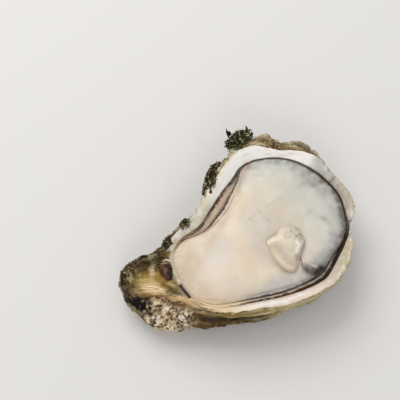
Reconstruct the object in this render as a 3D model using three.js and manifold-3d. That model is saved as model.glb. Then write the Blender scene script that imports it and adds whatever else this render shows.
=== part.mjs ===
// An oyster on the half shell: the cupped lower valve of a Pacific oyster with its hinge ligament and clumps of
// weed, and the opened animal in it, which is the lower mantle lobe, the body under its upper lobe, and the
// adductor muscle. Millimetres, +Z up, hinge at -X, ventral margin at +X, origin on the floor at the middle of
// the footprint.
import * as THREE from "three";
import { mergeVertices } from "three/addons/utils/BufferGeometryUtils.js";
import Module from "manifold-3d";

const wasm = await Module();
wasm.setup();

// ---------------------------------------------------------------------------------------------------------
// Driving dimensions

// Stations round the valve, counter-clockwise from the ventral end, closer together round the hinge beak.
//   rim    the sharp outer edge: x, y and height
//   cup    the inner edge of the rim, where the cup starts and the animal's margin lies
//   lap    how far the edge of the body lies inside that margin
//   swell  how far the outer wall swells out halfway down
//   shelf  the share of the rim's width that is the older layer, outside the white one
const STATIONS = [
  { rim: [50.5, -20.5, 22], cup: [50.3, -18.8, 20.5], lap: 3, swell: 0, shelf: 0.05 },
  { rim: [54.2, -15.5, 22.5], cup: [52, -13, 20.8], lap: 3, swell: -1, shelf: 0.1 },
  { rim: [56.8, -10.5, 23], cup: [52.7, -8, 21], lap: 2.6, swell: -1.5, shelf: 0.3 },
  { rim: [57.5, -3.5, 23.5], cup: [52.7, -1, 21.3], lap: 2.2, swell: -1.5, shelf: 0.35 },
  { rim: [53.5, 7.5, 24], cup: [48.5, 9.5, 22], lap: 1.7, swell: -1, shelf: 0.15 },
  { rim: [50.5, 19, 24], cup: [44, 16, 22.5], lap: 1.5, swell: -1, shelf: 0.2 },
  { rim: [45, 28, 24.5], cup: [39, 20.8, 23], lap: 1.5, swell: -1.5, shelf: 0.45 },
  { rim: [36, 31.8, 24.5], cup: [33, 24.5, 23.2], lap: 1.5, swell: -2, shelf: 0.5 },
  { rim: [31.7, 37, 25], cup: [26.7, 26.5, 23.5], lap: 1.5, swell: -2.5, shelf: 0.6 },
  { rim: [22.5, 37, 25.5], cup: [19.5, 27.3, 23.8], lap: 1.5, swell: -3, shelf: 0.35 },
  { rim: [12, 35, 26], cup: [13, 25.8, 24], lap: 1.6, swell: -3, shelf: 0.3 },
  { rim: [4, 29, 26], cup: [8, 22, 23.8], lap: 2, swell: -2, shelf: 0.35 },
  { rim: [-5.6, 20.5, 25], cup: [1, 16.5, 23.5], lap: 4, swell: -1, shelf: 0.3 },
  { rim: [-12, 14, 24.5], cup: [-5.5, 12.5, 23], lap: 5, swell: 0, shelf: 0.15 },
  { rim: [-21, 9.5, 23.5], cup: [-14.5, 5.8, 22.3], lap: 4, swell: 0.5, shelf: 0.15 },
  { rim: [-29.6, 5.7, 22], cup: [-23.7, 3.2, 21.5], lap: 1.8, swell: 1, shelf: 0.2 },
  { rim: [-37, 2.3, 20.5], cup: [-28.5, 0, 20.8], lap: 1.5, swell: 1.5, shelf: 0.3 },
  { rim: [-45, 2.5, 18.5], cup: [-30.5, -3, 20.3], lap: 1.5, swell: 2, shelf: 0.3 },
  { rim: [-52.5, 1.5, 16.5], cup: [-31.4, -6.5, 20], lap: 1.5, swell: 2, shelf: 0.3 },
  { rim: [-56.7, -3, 15], cup: [-31.5, -10.5, 20], lap: 1.5, swell: 3, shelf: 0.3 },
  { rim: [-57, -10.5, 16], cup: [-31.2, -15, 20], lap: 1.5, swell: 6, shelf: 0.3 },
  { rim: [-51, -16, 18.5], cup: [-30.3, -19.5, 20.5], lap: 1.5, swell: 11.5, shelf: 0.25 },
  { rim: [-42.5, -19.5, 20.5], cup: [-29, -23.5, 21], lap: 1.5, swell: 15, shelf: 0.2 },
  { rim: [-34.5, -25.7, 21.5], cup: [-27, -27.5, 21.3], lap: 1.6, swell: 13, shelf: 0.2 },
  { rim: [-27.5, -31.8, 22], cup: [-23.5, -31.3, 21.6], lap: 1.7, swell: 9, shelf: 0.2 },
  { rim: [-18, -37, 22.5], cup: [-17, -34.5, 21.8], lap: 1.9, swell: 6, shelf: 0.1 },
  { rim: [-4, -41, 23], cup: [-2, -36.5, 22], lap: 2.1, swell: 4.5, shelf: 0.06 },
  { rim: [14, -43.7, 23], cup: [14, -38.5, 22], lap: 2.4, swell: 3.4, shelf: 0.06 },
  { rim: [32, -42, 22.3], cup: [30, -36.8, 21.3], lap: 2.6, swell: 2, shelf: 0.06 },
  { rim: [43.5, -35.2, 22], cup: [40, -30.5, 21], lap: 2.6, swell: 1.2, shelf: 0.1 },
  { rim: [48.5, -27.5, 22], cup: [46.5, -24.5, 20.7], lap: 2.7, swell: 0.6, shelf: 0.05 },
];

const FOOT = { x: -8, y: -8, halfLength: 19, halfWidth: 12 }; // the flat spot that the valve rests on
const FLOOR = { x: -4, y: -8, thickness: 6, share: 0.25 }; // the bottom of the cup
const LAMELLAE = 7; // growth layers that stand out round the outer wall
const LAMELLA_STEP = 1.5; // how far each one stands out
const LAMELLA_WANDER = 0.6; // how far its edge wanders in and out
const SHELF_STEP = 0.7; // how far the white layer stands above the older one
const RIM_CROWN = 0.5; // how far the rim's top bulges
const HINGE_TROUGH = { from: [-33, -8.5], to: [-62, -9], halfWidth: 9, depth: 3.4 };
const GAP = 0.35; // clearance between pieces that touch

const LIGAMENT = { x: -35.2, y: -8.4, top: 20.4, length: 5.5, width: 10, height: 5, turn: -0.1 };

const MANTLE = { roll: 0.9, thickness: 1.3, underlap: 2.6, crimps: 40, crimp: 0.3 };

const BODY = { x: 10, y: -9, crest: 24.2, edge: 0.3 };
// Swellings and dents of the body's top: x, y, half length, half width, turn and height.
const BODY_RELIEF = [
  [-8, -14, 24, 19, 0.35, 3.6], // the full visceral mass behind the hinge
  [14, 6, 20, 13, 0.6, 1.6], // its upper part
  [19, -19, 15, 14, 1.2, -1.2], // the dimple round the muscle
  [40, -6, 12, 18, -0.2, -1.0], // the thin skirt over the gills
  [3, -35, 22, 4, 0.05, -0.7], // the fall towards the lower margin
  [29, -32, 6, 4, 0.4, -1.6], // the pocket where the mantle folds over itself
  [25.5, -27.6, 5, 1.6, -0.3, 1.2], // the lip of that fold
];

const MUSCLE = { x: 19.4, y: -19.6, base: 24.3, turn: 1.18, halfLength: 11.6, halfWidth: 8, rise: 2.4, root: 5.5 };
const MUSCLE_RIDGE = { height: 0.5, halfWidth: 2.2 };

// Clumps of weed and crust on the outside of the rim.
const WEED = [
  { name: "weed_tuft_rim", at: [12.5, 37.6, 23.4], half: [10.5, 5.2, 3.8], turn: 0.32 },
  { name: "weed_clump_side", at: [-4.2, 24.4, 19.5], half: [8.2, 3.3, 4.2], turn: 0.95 },
  { name: "weed_patch_cup", at: [-21.6, 10.2, 20.2], half: [3.4, 2.4, 2.6], turn: 0.5 },
  { name: "weed_patch_hinge", at: [-31.2, 5.4, 18.6], half: [4.4, 2.3, 2.6], turn: 0.6 },
];

const SHELL_FINISH = { color: 0xc4b69f, roughness: 0.7, metalness: 0 };
const LIGAMENT_FINISH = { color: 0x5a3f30, roughness: 0.6, metalness: 0 };
const MANTLE_FINISH = { color: 0x6b6056, roughness: 0.35, metalness: 0 };
const BODY_FINISH = { color: 0xdccfbc, roughness: 0.3, metalness: 0 };
const MUSCLE_FINISH = { color: 0xd8c9b2, roughness: 0.3, metalness: 0 };
const WEED_FINISH = { color: 0x3b3a24, roughness: 0.9, metalness: 0 };

// ---------------------------------------------------------------------------------------------------------
// Curves and meshes

const TURN = 2 * Math.PI;
const mix = THREE.MathUtils.lerp;

// A smooth closed curve through one column of the stations, read at u from 0 to 1.
function pointRound(column) {
  const points = STATIONS.map((station) => new THREE.Vector3(...[station[column]].flat()));
  const curve = new THREE.CatmullRomCurve3(points, true, "catmullrom", 0.5);
  return (u) => curve.getPoint(THREE.MathUtils.euclideanModulo(u, 1));
}

function numberRound(column) {
  const curve = pointRound(column);
  return (u) => curve(u).x;
}

const rimAt = pointRound("rim");
const cupEdgeAt = pointRound("cup");
const lapAt = numberRound("lap");
const swellAt = numberRound("swell");
const shelfAt = numberRound("shelf");

// The level outward direction of a closed counter-clockwise curve, taken over a stretch of it.
function outwardOf(curve, u, stretch = 0.004) {
  const along = curve(u + stretch).sub(curve(u - stretch));
  return new THREE.Vector3(along.y, -along.x, 0).normalize();
}

// The point a distance inside the cup's edge, at a height over it.
function insideCup(u, inset, height = 0) {
  const place = cupEdgeAt(u).addScaledVector(outwardOf(cupEdgeAt, u), -inset);
  place.z += height;
  return place;
}

// An uneven wave round the valve, about -1 to 1, different for each seed.
function wave(u, seed) {
  const a = TURN * u;
  const broad = 0.5 * Math.sin(3 * a + 1.7 * seed) + 0.32 * Math.sin(8 * a + 2.9 * seed);
  return broad + 0.18 * Math.sin(17 * a + 4.1 * seed);
}

// A round swelling, 1 high at its middle, that fades to nothing past its half sizes.
function swelling(x, y, [middleX, middleY, halfLength, halfWidth, turn]) {
  const dx = x - middleX;
  const dy = y - middleY;
  const along = (dx * Math.cos(turn) + dy * Math.sin(turn)) / halfLength;
  const across = (dy * Math.cos(turn) - dx * Math.sin(turn)) / halfWidth;
  return Math.exp(-((along * along + across * across) ** 1.3));
}

// A three.js geometry with each vertex moved to where surface(u, v) puts it.
function reshaped(geometry, surface) {
  const uv = geometry.getAttribute("uv");
  const position = geometry.getAttribute("position");
  for (let i = 0; i < position.count; i++) position.setXYZ(i, ...surface(uv.getX(i), uv.getY(i)));
  geometry.deleteAttribute("normal");
  geometry.deleteAttribute("uv");
  return mergeVertices(geometry, 1e-4);
}

// A closed surface through rings, from the lowest pole to the highest: the first and last are points.
function ringedSurface(rings, segments) {
  const last = rings.length - 1;
  return reshaped(new THREE.SphereGeometry(1, segments, last), (u, v) => {
    const ring = Math.round(v * last);
    return rings[ring](ring === 0 || ring === last ? 0 : u).toArray();
  });
}

function solidOf(geometry) {
  const vertProperties = new Float32Array(geometry.getAttribute("position").array);
  const triVerts = new Uint32Array(geometry.index.array);
  return new wasm.Manifold(new wasm.Mesh({ numProp: 3, vertProperties, triVerts }));
}

function geometryOf(solid) {
  const mesh = solid.getMesh();
  const geometry = new THREE.BufferGeometry();
  geometry.setAttribute("position", new THREE.BufferAttribute(mesh.vertProperties, 3));
  geometry.setIndex(new THREE.BufferAttribute(mesh.triVerts, 1));
  return geometry;
}

// The same closed surface moved out along its normals, as a cutter that leaves a gap.
function grown(geometry, by) {
  const copy = geometry.clone();
  copy.computeVertexNormals();
  const position = copy.getAttribute("position");
  const normal = copy.getAttribute("normal");
  for (let i = 0; i < position.count; i++) {
    const place = new THREE.Vector3().fromBufferAttribute(position, i);
    const away = new THREE.Vector3().fromBufferAttribute(normal, i);
    position.setXYZ(i, ...place.addScaledVector(away, by).toArray());
  }
  copy.deleteAttribute("normal");
  return copy;
}

// What is left of a geometry after a cut, without the scraps.
function cut(geometry, cutter) {
  const bodies = solidOf(geometry).subtract(solidOf(cutter)).decompose();
  bodies.sort((a, b) => b.volume() - a.volume());
  return geometryOf(bodies[0]);
}

// ---------------------------------------------------------------------------------------------------------
// The valve

// The edge of the foot, below the same station of the rim.
function footAt(u) {
  const rim = rimAt(u);
  const angle = Math.atan2((rim.y - FOOT.y) * FOOT.halfLength, (rim.x - FOOT.x) * FOOT.halfWidth);
  return new THREE.Vector3(
    FOOT.x + FOOT.halfLength * Math.cos(angle),
    FOOT.y + FOOT.halfWidth * Math.sin(angle),
    0,
  );
}

// The outer wall, t from 0 at the rim to 1 at the foot. Each layer draws in as it goes down, and the next older
// one stands out under it as a ledge.
function wallAt(u, t) {
  const rim = rimAt(u);
  const bend = (t * Math.PI) / 2;
  const place = footAt(u).lerp(rim, Math.cos(bend));
  place.z = rim.z * (1 - Math.sin(bend));
  if (t === 0 || t === 1) return place;
  const layer = Math.floor(t * LAMELLAE + 1e-6);
  const drawnIn = t * LAMELLAE - layer;
  const ledge = LAMELLA_WANDER * wave(u, layer + LAMELLAE) - LAMELLA_STEP * drawnIn * (1 + 0.5 * wave(u, layer));
  const faded = ledge * Math.sqrt(Math.sin(Math.PI * t));
  return place.addScaledVector(outwardOf(rimAt, u, 0.03), swellAt(u) * Math.sin(2 * bend) + faded);
}

// The depth of the trough that runs out along the hinge beak.
function troughAt(x, y) {
  const from = new THREE.Vector2(...HINGE_TROUGH.from);
  const axis = new THREE.Vector2(...HINGE_TROUGH.to).sub(from).normalize();
  const place = new THREE.Vector2(x, y).sub(from);
  const across = place.cross(axis) / HINGE_TROUGH.halfWidth;
  const start = THREE.MathUtils.smoothstep(place.dot(axis), -4, 5);
  return HINGE_TROUGH.depth * start * Math.max(0, 1 - across * across) ** 1.5;
}

// The rim's top, w from 0 at the sharp edge to 1 where the cup starts.
function rimTopAt(u, w) {
  const place = rimAt(u).lerp(cupEdgeAt(u), w);
  if (w > shelfAt(u)) place.z += SHELF_STEP * (1 - w);
  const awayFromEdge = Math.sqrt(Math.sin(Math.PI * Math.min(1, 0.25 + 0.75 * w)));
  place.z += RIM_CROWN * Math.sin(Math.PI * w) - awayFromEdge * troughAt(place.x, place.y);
  return place;
}

// The inside of the cup, c from 0 at its edge to 1 at the edge of its floor, or a surface a little clear of it.
function cupAt(u, c, clear = 0) {
  const edge = cupEdgeAt(u);
  const foot = footAt(u);
  const bend = (c * Math.PI) / 2;
  const floorX = mix(foot.x, edge.x, FLOOR.share) + FLOOR.x - FOOT.x;
  const floorY = mix(foot.y, edge.y, FLOOR.share) + FLOOR.y - FOOT.y;
  const place = edge.clone().lerp(new THREE.Vector3(floorX, floorY, 0), 1 - Math.cos(bend));
  place.addScaledVector(outwardOf(cupEdgeAt, u), -clear * Math.cos(bend));
  place.z = mix(edge.z, FLOOR.thickness, Math.sin(bend)) + clear * Math.sin(bend);
  return place;
}

// The whole valve, from the middle of the foot out, up the wall, over the rim and down into the cup.
function makeShell() {
  const rings = [() => new THREE.Vector3(FOOT.x, FOOT.y, 0), (u) => wallAt(u, 1)];
  for (let layer = LAMELLAE - 1; layer >= 0; layer--)
    for (const drawnIn of [0.94, 0.5, 0]) rings.push((u) => wallAt(u, (layer + drawnIn) / LAMELLAE));
  const stepHalfWidth = 0.015;
  rings.push((u) => rimTopAt(u, shelfAt(u) - stepHalfWidth));
  rings.push((u) => rimTopAt(u, shelfAt(u) + stepHalfWidth));
  for (const w of [1 / 3, 2 / 3, 1]) rings.push((u) => rimTopAt(u, mix(shelfAt(u) + stepHalfWidth, 1, w)));
  for (const c of [0.15, 0.35, 0.6, 0.8, 1]) rings.push((u) => cupAt(u, c));
  rings.push(() => new THREE.Vector3(FLOOR.x, FLOOR.y, FLOOR.thickness));
  return ringedSurface(rings, 104);
}

// ---------------------------------------------------------------------------------------------------------
// The hinge ligament: a torn brown pad in the trough of the hinge

function makeLigament() {
  const geometry = reshaped(new THREE.SphereGeometry(1, 20, 8), (u, v) => {
    const a = TURN * u;
    const lift = Math.sin((v - 0.5) * Math.PI);
    const reach = Math.cos((v - 0.5) * Math.PI) ** 0.45;
    const torn = 1 + 0.14 * wave(u, 9) + 0.06 * Math.sin(9 * a);
    const frayed = lift > 0 ? 1.4 * Math.sin(5 * a) * lift * (1 - lift) : 0;
    return [
      (LIGAMENT.length / 2) * reach * torn * Math.cos(a),
      (LIGAMENT.width / 2) * reach * torn * Math.sin(a),
      (LIGAMENT.height / 2) * (lift - 1) + frayed,
    ];
  });
  return geometry.rotateZ(LIGAMENT.turn).translate(LIGAMENT.x, LIGAMENT.y, LIGAMENT.top);
}

// ---------------------------------------------------------------------------------------------------------
// The animal

// The lower mantle lobe: a flap round the cup, rolled up and crimped at its margin, that runs in under the
// body. Its section is a loop of corners: how far inside the cup's edge, and how high over it.
function mantleSection(u) {
  const crimp = MANTLE.crimp * (Math.sin(TURN * MANTLE.crimps * u) + 0.6 * wave(u, 5));
  const bodyEdge = lapAt(u) - GAP;
  const innerEnd = lapAt(u) + MANTLE.underlap;
  return [
    [GAP + 0.1, -0.2],
    [GAP + 0.3 + 0.15 * crimp, MANTLE.roll * (0.75 + crimp)],
    [Math.min(GAP + 1.15, bodyEdge - 0.15), MANTLE.roll * (0.7 + crimp)],
    [Math.min(GAP + 1.7, bodyEdge), -0.35],
    [innerEnd, -1.1],
    [innerEnd, -1.1 - MANTLE.thickness],
    [GAP + 0.85, -1.6],
  ];
}

function makeLowerMantle() {
  const corners = mantleSection(0).length;
  return reshaped(new THREE.TorusGeometry(2, 1, corners, 100), (u, v) => {
    const [inset, height] = mantleSection(u)[Math.round(v * corners) % corners];
    return insideCup(u, inset, height).toArray();
  });
}

// The body's top, s from 0 at the margin of its mantle lobe to 1 at the middle.
function bodyTopAt(u, s) {
  const edge = insideCup(u, lapAt(u), BODY.edge);
  const place = edge.clone().lerp(new THREE.Vector3(BODY.x, BODY.y, 0), s);
  const shoulder = 1 - (1 - Math.min(1, s * 2.2)) ** 2.4;
  place.z = mix(edge.z, BODY.crest, shoulder);
  for (const relief of BODY_RELIEF) place.z += relief.at(-1) * shoulder * swelling(place.x, place.y, relief);
  return place;
}

// The body fills the cup under the mantle lobes: its underside lies on the lower lobe near the margin, then
// drops inside that lobe to the wall and the floor of the cup.
function makeBody() {
  const under = (u, inset, height) => insideCup(u, lapAt(u) + inset, height);
  const onWall = (u, c) => cupAt(u, c, (MANTLE.underlap + lapAt(u)) * (1 - c) + 1.4 * GAP);
  const floorMiddle = new THREE.Vector3(FLOOR.x, FLOOR.y, FLOOR.thickness + GAP);
  const pastMantle = MANTLE.underlap + GAP;
  const rings = [
    () => floorMiddle,
    (u) => onWall(u, 1).lerp(floorMiddle, 0.4),
    (u) => onWall(u, 0.93),
    (u) => onWall(u, 0.75),
    (u) => onWall(u, 0.5),
    (u) => under(u, pastMantle + 0.3, -3.2),
    (u) => under(u, pastMantle, -0.7),
    (u) => under(u, 1.3, -0.3),
    (u) => under(u, 0.25, -0.08),
  ];
  for (const s of [0, 0.04, 0.1, 0.18, 0.27, 0.37, 0.48, 0.6, 0.72, 0.84, 0.93]) rings.push((u) => bodyTopAt(u, s));
  rings.push(() => bodyTopAt(0, 1));
  return ringedSurface(rings, 72);
}

// The adductor muscle: an oval plug with a rounded top and a low ridge along it, cut from the other valve.
function makeMuscle() {
  return reshaped(new THREE.SphereGeometry(1, 30, 11), (u, v) => {
    const a = TURN * u;
    const lift = Math.sin((v - 0.5) * Math.PI);
    const reach = Math.cos((v - 0.5) * Math.PI) ** 0.6;
    const outline = 1 + 0.05 * Math.cos(2 * a) + 0.05 * Math.cos(3 * a + 0.4) + 0.02 * Math.sin(5 * a);
    const x = MUSCLE.halfLength * reach * outline * Math.cos(a);
    const y = MUSCLE.halfWidth * reach * outline * Math.sin(a);
    const ridge = MUSCLE_RIDGE.height * Math.exp(-((y / MUSCLE_RIDGE.halfWidth) ** 2));
    return [x, y, lift > 0 ? (MUSCLE.rise + ridge) * lift : MUSCLE.root * lift];
  });
}

// ---------------------------------------------------------------------------------------------------------
// Weed: a rough clump, later cut to lie against the outside of the valve

function makeWeed({ at, half, turn }, seed) {
  const geometry = reshaped(new THREE.SphereGeometry(1, 15, 8), (u, v) => {
    const a = TURN * u;
    const b = (v - 0.5) * Math.PI;
    const lobes = 0.16 * Math.sin(5 * a + seed) + 0.12 * Math.sin(7 * a + 6 * b + 2 * seed);
    const rough = 1 + lobes * Math.cos(b);
    const reach = rough * Math.cos(b);
    return [half[0] * reach * Math.cos(a), half[1] * reach * Math.sin(a), half[2] * rough * Math.sin(b)];
  });
  return geometry.rotateZ(turn).translate(...at);
}

// ---------------------------------------------------------------------------------------------------------
// The oyster

const oyster = new THREE.Group();

function addPiece(name, geometry, finish) {
  const mesh = new THREE.Mesh(geometry, new THREE.MeshStandardMaterial(finish));
  mesh.name = name;
  oyster.add(mesh);
  return mesh;
}

const wholeShell = makeShell();
const ligament = makeLigament();
addPiece("shell", cut(wholeShell, grown(ligament, GAP)), SHELL_FINISH);
addPiece("hinge_ligament", ligament, LIGAMENT_FINISH);

const muscle = makeMuscle();
const socket = grown(muscle, GAP).rotateZ(MUSCLE.turn).translate(MUSCLE.x, MUSCLE.y, MUSCLE.base);
addPiece("lower_mantle", makeLowerMantle(), MANTLE_FINISH);
addPiece("body", cut(makeBody(), socket), BODY_FINISH);
const plug = addPiece("adductor_muscle", muscle, MUSCLE_FINISH);
plug.position.set(MUSCLE.x, MUSCLE.y, MUSCLE.base);
plug.rotation.z = MUSCLE.turn;

const besideShell = grown(wholeShell, GAP);
WEED.forEach((clump, i) => addPiece(clump.name, cut(makeWeed(clump, i + 1), besideShell), WEED_FINISH));

// The stations are measured from near the middle of the cup, so the pieces move over to stand round the origin.
const middle = new THREE.Box3().setFromObject(oyster, true).getCenter(new THREE.Vector3()).setZ(0);
for (const piece of oyster.children) piece.position.sub(middle);

export default oyster;
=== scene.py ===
import math

import bpy
import numpy as np
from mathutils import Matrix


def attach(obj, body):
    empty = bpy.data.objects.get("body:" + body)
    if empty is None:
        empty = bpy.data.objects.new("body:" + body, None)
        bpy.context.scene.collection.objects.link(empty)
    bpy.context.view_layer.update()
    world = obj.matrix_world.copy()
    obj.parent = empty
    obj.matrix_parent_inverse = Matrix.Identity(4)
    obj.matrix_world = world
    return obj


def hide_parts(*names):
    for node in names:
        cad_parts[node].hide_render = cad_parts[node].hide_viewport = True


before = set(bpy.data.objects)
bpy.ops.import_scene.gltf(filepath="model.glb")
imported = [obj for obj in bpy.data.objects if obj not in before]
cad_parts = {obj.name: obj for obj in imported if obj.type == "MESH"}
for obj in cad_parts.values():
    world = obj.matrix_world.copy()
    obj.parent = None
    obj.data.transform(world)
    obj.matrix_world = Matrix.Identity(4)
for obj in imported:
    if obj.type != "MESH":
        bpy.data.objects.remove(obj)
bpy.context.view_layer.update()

# ---------------------------------------------------------------------------------------------------------
# The valve: the cupped lower shell of a Pacific oyster, chalk and calcite laid down in growth layers. It
# grew in one piece, crusted brown and olive outside and white at the rim, and rests on a small flat.
# Lengths are in millimetres, +Z up, hinge at -X, measured from near the middle of the cup.

# Stations round the valve, counter-clockwise from the ventral end: the sharp edge of the rim, the edge
# of the cup, how far the body's edge lies inside the cup, how far the wall swells out, and the older
# layer's share of the rim.
STATIONS = [
    ((50.5, -20.5, 22), (50.7, -19, 20.5), 1.6, 0, 0.05),
    ((54.2, -15.5, 22.5), (52, -13, 20.8), 1.25, -1, 0.1),
    ((56.8, -10.5, 23), (52.7, -8, 21), 1.05, -1.5, 0.26),
    ((57.5, -3.5, 23.5), (52.7, -1, 21.3), 1, -1.5, 0.3),
    ((53.5, 7.5, 24), (48.5, 9.5, 22), 1, -1, 0.08),
    ((50.5, 19, 24), (44, 16, 22.5), 1.05, -1, 0.2),
    ((45, 28, 24.5), (39, 20.8, 23), 0.95, -1.5, 0.5),
    ((36, 31.8, 24.5), (33, 24.5, 23.2), 0.95, -2, 0.58),
    ((31.7, 37, 25), (26.7, 26.5, 23.5), 0.95, -2.5, 0.62),
    ((22.5, 37, 25.5), (19.5, 27.3, 23.8), 1, -3, 0.32),
    ((12, 35, 26), (13, 25.8, 24), 1.3, -3, 0.3),
    ((4, 29, 26), (8, 22, 23.8), 2.7, -2, 0.22),
    ((-5.6, 20.5, 25), (0.1, 16.9, 23.5), 4.5, -1, 0.12),
    ((-12, 14, 24.5), (-5.5, 12.5, 23), 4.7, 0, 0.1),
    ((-21, 9.5, 23.5), (-14.5, 5.8, 22.3), 3.5, 0.5, 0.2),
    ((-29.6, 5.7, 22), (-23.7, 3.2, 21.5), 1.7, 1, 0.3),
    ((-37, 2.3, 20.5), (-28.5, 0, 20.8), 1.1, 1.5, 0.72),
    ((-45, 2.5, 18.5), (-30.5, -3, 20.3), 0.7, 2, 0.3),
    ((-52.5, 1.5, 16.5), (-31.4, -6.5, 20), 0.6, 2, 0.3),
    ((-56.7, -3, 15), (-31.5, -10.5, 20), 0.6, 3, 0.3),
    ((-56.6, -10.5, 16), (-31.2, -15, 20), 0.6, 4.6, 0.3),
    ((-51, -16, 18.5), (-30.3, -19.5, 20.5), 0.6, 11.5, 0.25),
    ((-42.5, -19.5, 20.5), (-29, -23.5, 21), 0.7, 15, 0.2),
    ((-34.5, -25.7, 21.5), (-27, -27.5, 21.3), 0.9, 13, 0.2),
    ((-27.5, -31.8, 22), (-23.5, -31.3, 21.6), 1.3, 9, 0.2),
    ((-18, -37, 22.5), (-17, -34.5, 21.8), 1.9, 7, 0.1),
    ((-4, -41, 23), (-2.1, -37.1, 22), 1.8, 5.6, 0.06),
    ((14, -43.7, 23), (14.1, -39, 22), 2.3, 3.8, 0.06),
    ((32, -42, 22.3), (30.4, -37.6, 21.3), 3.0, 2, 0.06),
    ((43.5, -35.2, 22), (40, -30.5, 21), 2.5, 1.2, 0.1),
    ((48.5, -27.5, 22), (46.5, -24.5, 20.7), 1.75, 0.6, 0.05),
]
MIDDLE = np.array([0.5285, 0.1115, 0])  # what the valve is moved by to stand round the origin
METRE = 1000
TURN = 2 * math.pi

FOOT = {"x": -8, "y": -8, "half_length": 19, "half_width": 12}
FLOOR = {"x": -4, "y": -8, "thickness": 6, "share": 0.25}
LAMELLAE, FLUTES = 7, 23
LAMELLA_STEP, LAMELLA_WANDER, FINE_STEP, FINE_LAYERS = 1.5, 0.6, 0.35, 3
WALL_WANDER = 0.045
SHELF_STEP, RIM_CROWN = 0.7, 0.5
HINGE_FROM, HINGE_TO = np.array([-33, -8.5]), np.array([-62, -9])
TROUGH_HALF_WIDTH, TROUGH_DEPTH = 9, 3.4
WALK_RADIUS = 45  # turns a share of the way round into millimetres along the rim


def xyz(*parts):
    """Points made of their parts, each a number or a grid of them."""
    return np.stack(np.broadcast_arrays(*parts), -1)


def eased(knots, place, pull):
    """The points at some places on a smooth closed loop through the knots. Place 1 is the second knot."""
    first = np.floor(place).astype(int)
    f = (place - first).reshape(place.shape + (1,) * (knots.ndim - 1))
    before, start, end, after = (knots[(first + k) % len(knots)] for k in (-1, 0, 1, 2))
    held = (2 * f**3 - 3 * f**2 + 1) * start + (3 * f**2 - 2 * f**3) * end
    return held + (f**3 - 2 * f**2 + f) * pull * (end - before) + (f**3 - f**2) * pull * (after - start)


def closed_curve(knots):
    """A smooth closed curve through a knot at each station, read at u from 0 to 1."""
    knots = np.array([np.ravel(knot) for knot in knots], float)
    return lambda u: eased(knots, np.mod(u, 1.0) * len(knots), 0.5)


def closed_number(numbers):
    curve = closed_curve(numbers)
    return lambda u: curve(u)[..., 0]


rim_at, cup_edge_at = (closed_curve([row[column] for row in STATIONS]) for column in (0, 1))
lap_at, swell_at, shelf_at = (closed_number([row[column] for row in STATIONS]) for column in (2, 3, 4))


def outward(curve, u, stretch=0.004):
    """The level outward direction of a closed counter-clockwise curve."""
    along = curve(u + stretch) - curve(u - stretch)
    side = xyz(along[..., 1], -along[..., 0], 0)
    return side / np.linalg.norm(side, axis=-1, keepdims=True)


def wave(u, seed):
    """An uneven wave round the valve, about -1 to 1, different for each seed."""
    a = TURN * u
    broad = 0.5 * np.sin(3 * a + 1.7 * seed) + 0.32 * np.sin(8 * a + 2.9 * seed)
    return broad + 0.18 * np.sin(17 * a + 4.1 * seed)


def smooth(low, high, value):
    share = np.clip((value - low) / (high - low), 0, 1)
    return share * share * (3 - 2 * share)


def bell(value, middle, width):
    """1 where a value is the middle one, and less to both sides of it."""
    return np.exp(-(((value - middle) / width) ** 2))


def mixed(a, b, share):
    return a + (b - a) * share


def along_rim(u, first, last, soft=0.6):
    """1 on the stretch of the rim between two stations, which may pass the start."""
    n = len(STATIONS)
    middle, half = (first + last) / 2, (last - first) / 2
    away = np.abs((u * n - middle + n / 2) % n - n / 2)
    return 1 - smooth(half - soft, half + soft, away)


def spot(x, y, middle_x, middle_y, half_length, half_width, turn=0.0):
    """A soft oval, 1 at its middle, that fades to nothing past its half sizes."""
    dx, dy = x - middle_x, y - middle_y
    along = (dx * np.cos(turn) + dy * np.sin(turn)) / half_length
    across = (dy * np.cos(turn) - dx * np.sin(turn)) / half_width
    return np.exp(-((along**2 + across**2) ** 1.3))


def off_path(x, y, path):
    """The distance from each place to a path of straight stretches."""
    nearest = np.full(np.shape(x), 1e6)
    for (ax, ay), (bx, by) in zip(path, path[1:]):
        dx, dy = bx - ax, by - ay
        share = np.clip(((x - ax) * dx + (y - ay) * dy) / (dx * dx + dy * dy), 0, 1)
        nearest = np.minimum(nearest, np.hypot(x - ax - share * dx, y - ay - share * dy))
    return nearest


def stroke(x, y, path, half_width):
    return bell(off_path(x, y, path), 0, half_width)


def chance(cell, seed):
    """A number from 0 to 1 that is always the same for a whole-numbered place."""
    n = cell[..., 0] * 73856093 ^ cell[..., 1] * 19349663 ^ cell[..., 2] * 83492791 ^ seed * 62089911
    n = ((n ^ (n >> 15)) & 0xFFFFFFFF) * 0x2C1B3C6D & 0xFFFFFFFF
    n = (n ^ (n >> 12)) * 0x297A2D39 & 0xFFFFFFFF
    return ((n ^ (n >> 15)) & 0xFFFFFF) / 0x1000000


def lumps(points, size, seed):
    """Smooth lumps about a size across, from -1 to 1."""
    at = np.asarray(points) / size
    cell = np.floor(at).astype(np.int64)
    f = at - cell
    f = f * f * (3 - 2 * f)
    total = 0
    for corner in np.ndindex(2, 2, 2):
        weight = np.prod(np.where(corner, f, 1 - f), axis=-1)
        total = total + weight * chance(cell + np.array(corner), seed)
    return 2 * total - 1


def mottle(points, *layers):
    """Layers of lumps added up, each with its strength, size and seed."""
    return sum(strength * lumps(points, size, seed) for strength, size, seed in layers)


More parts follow.
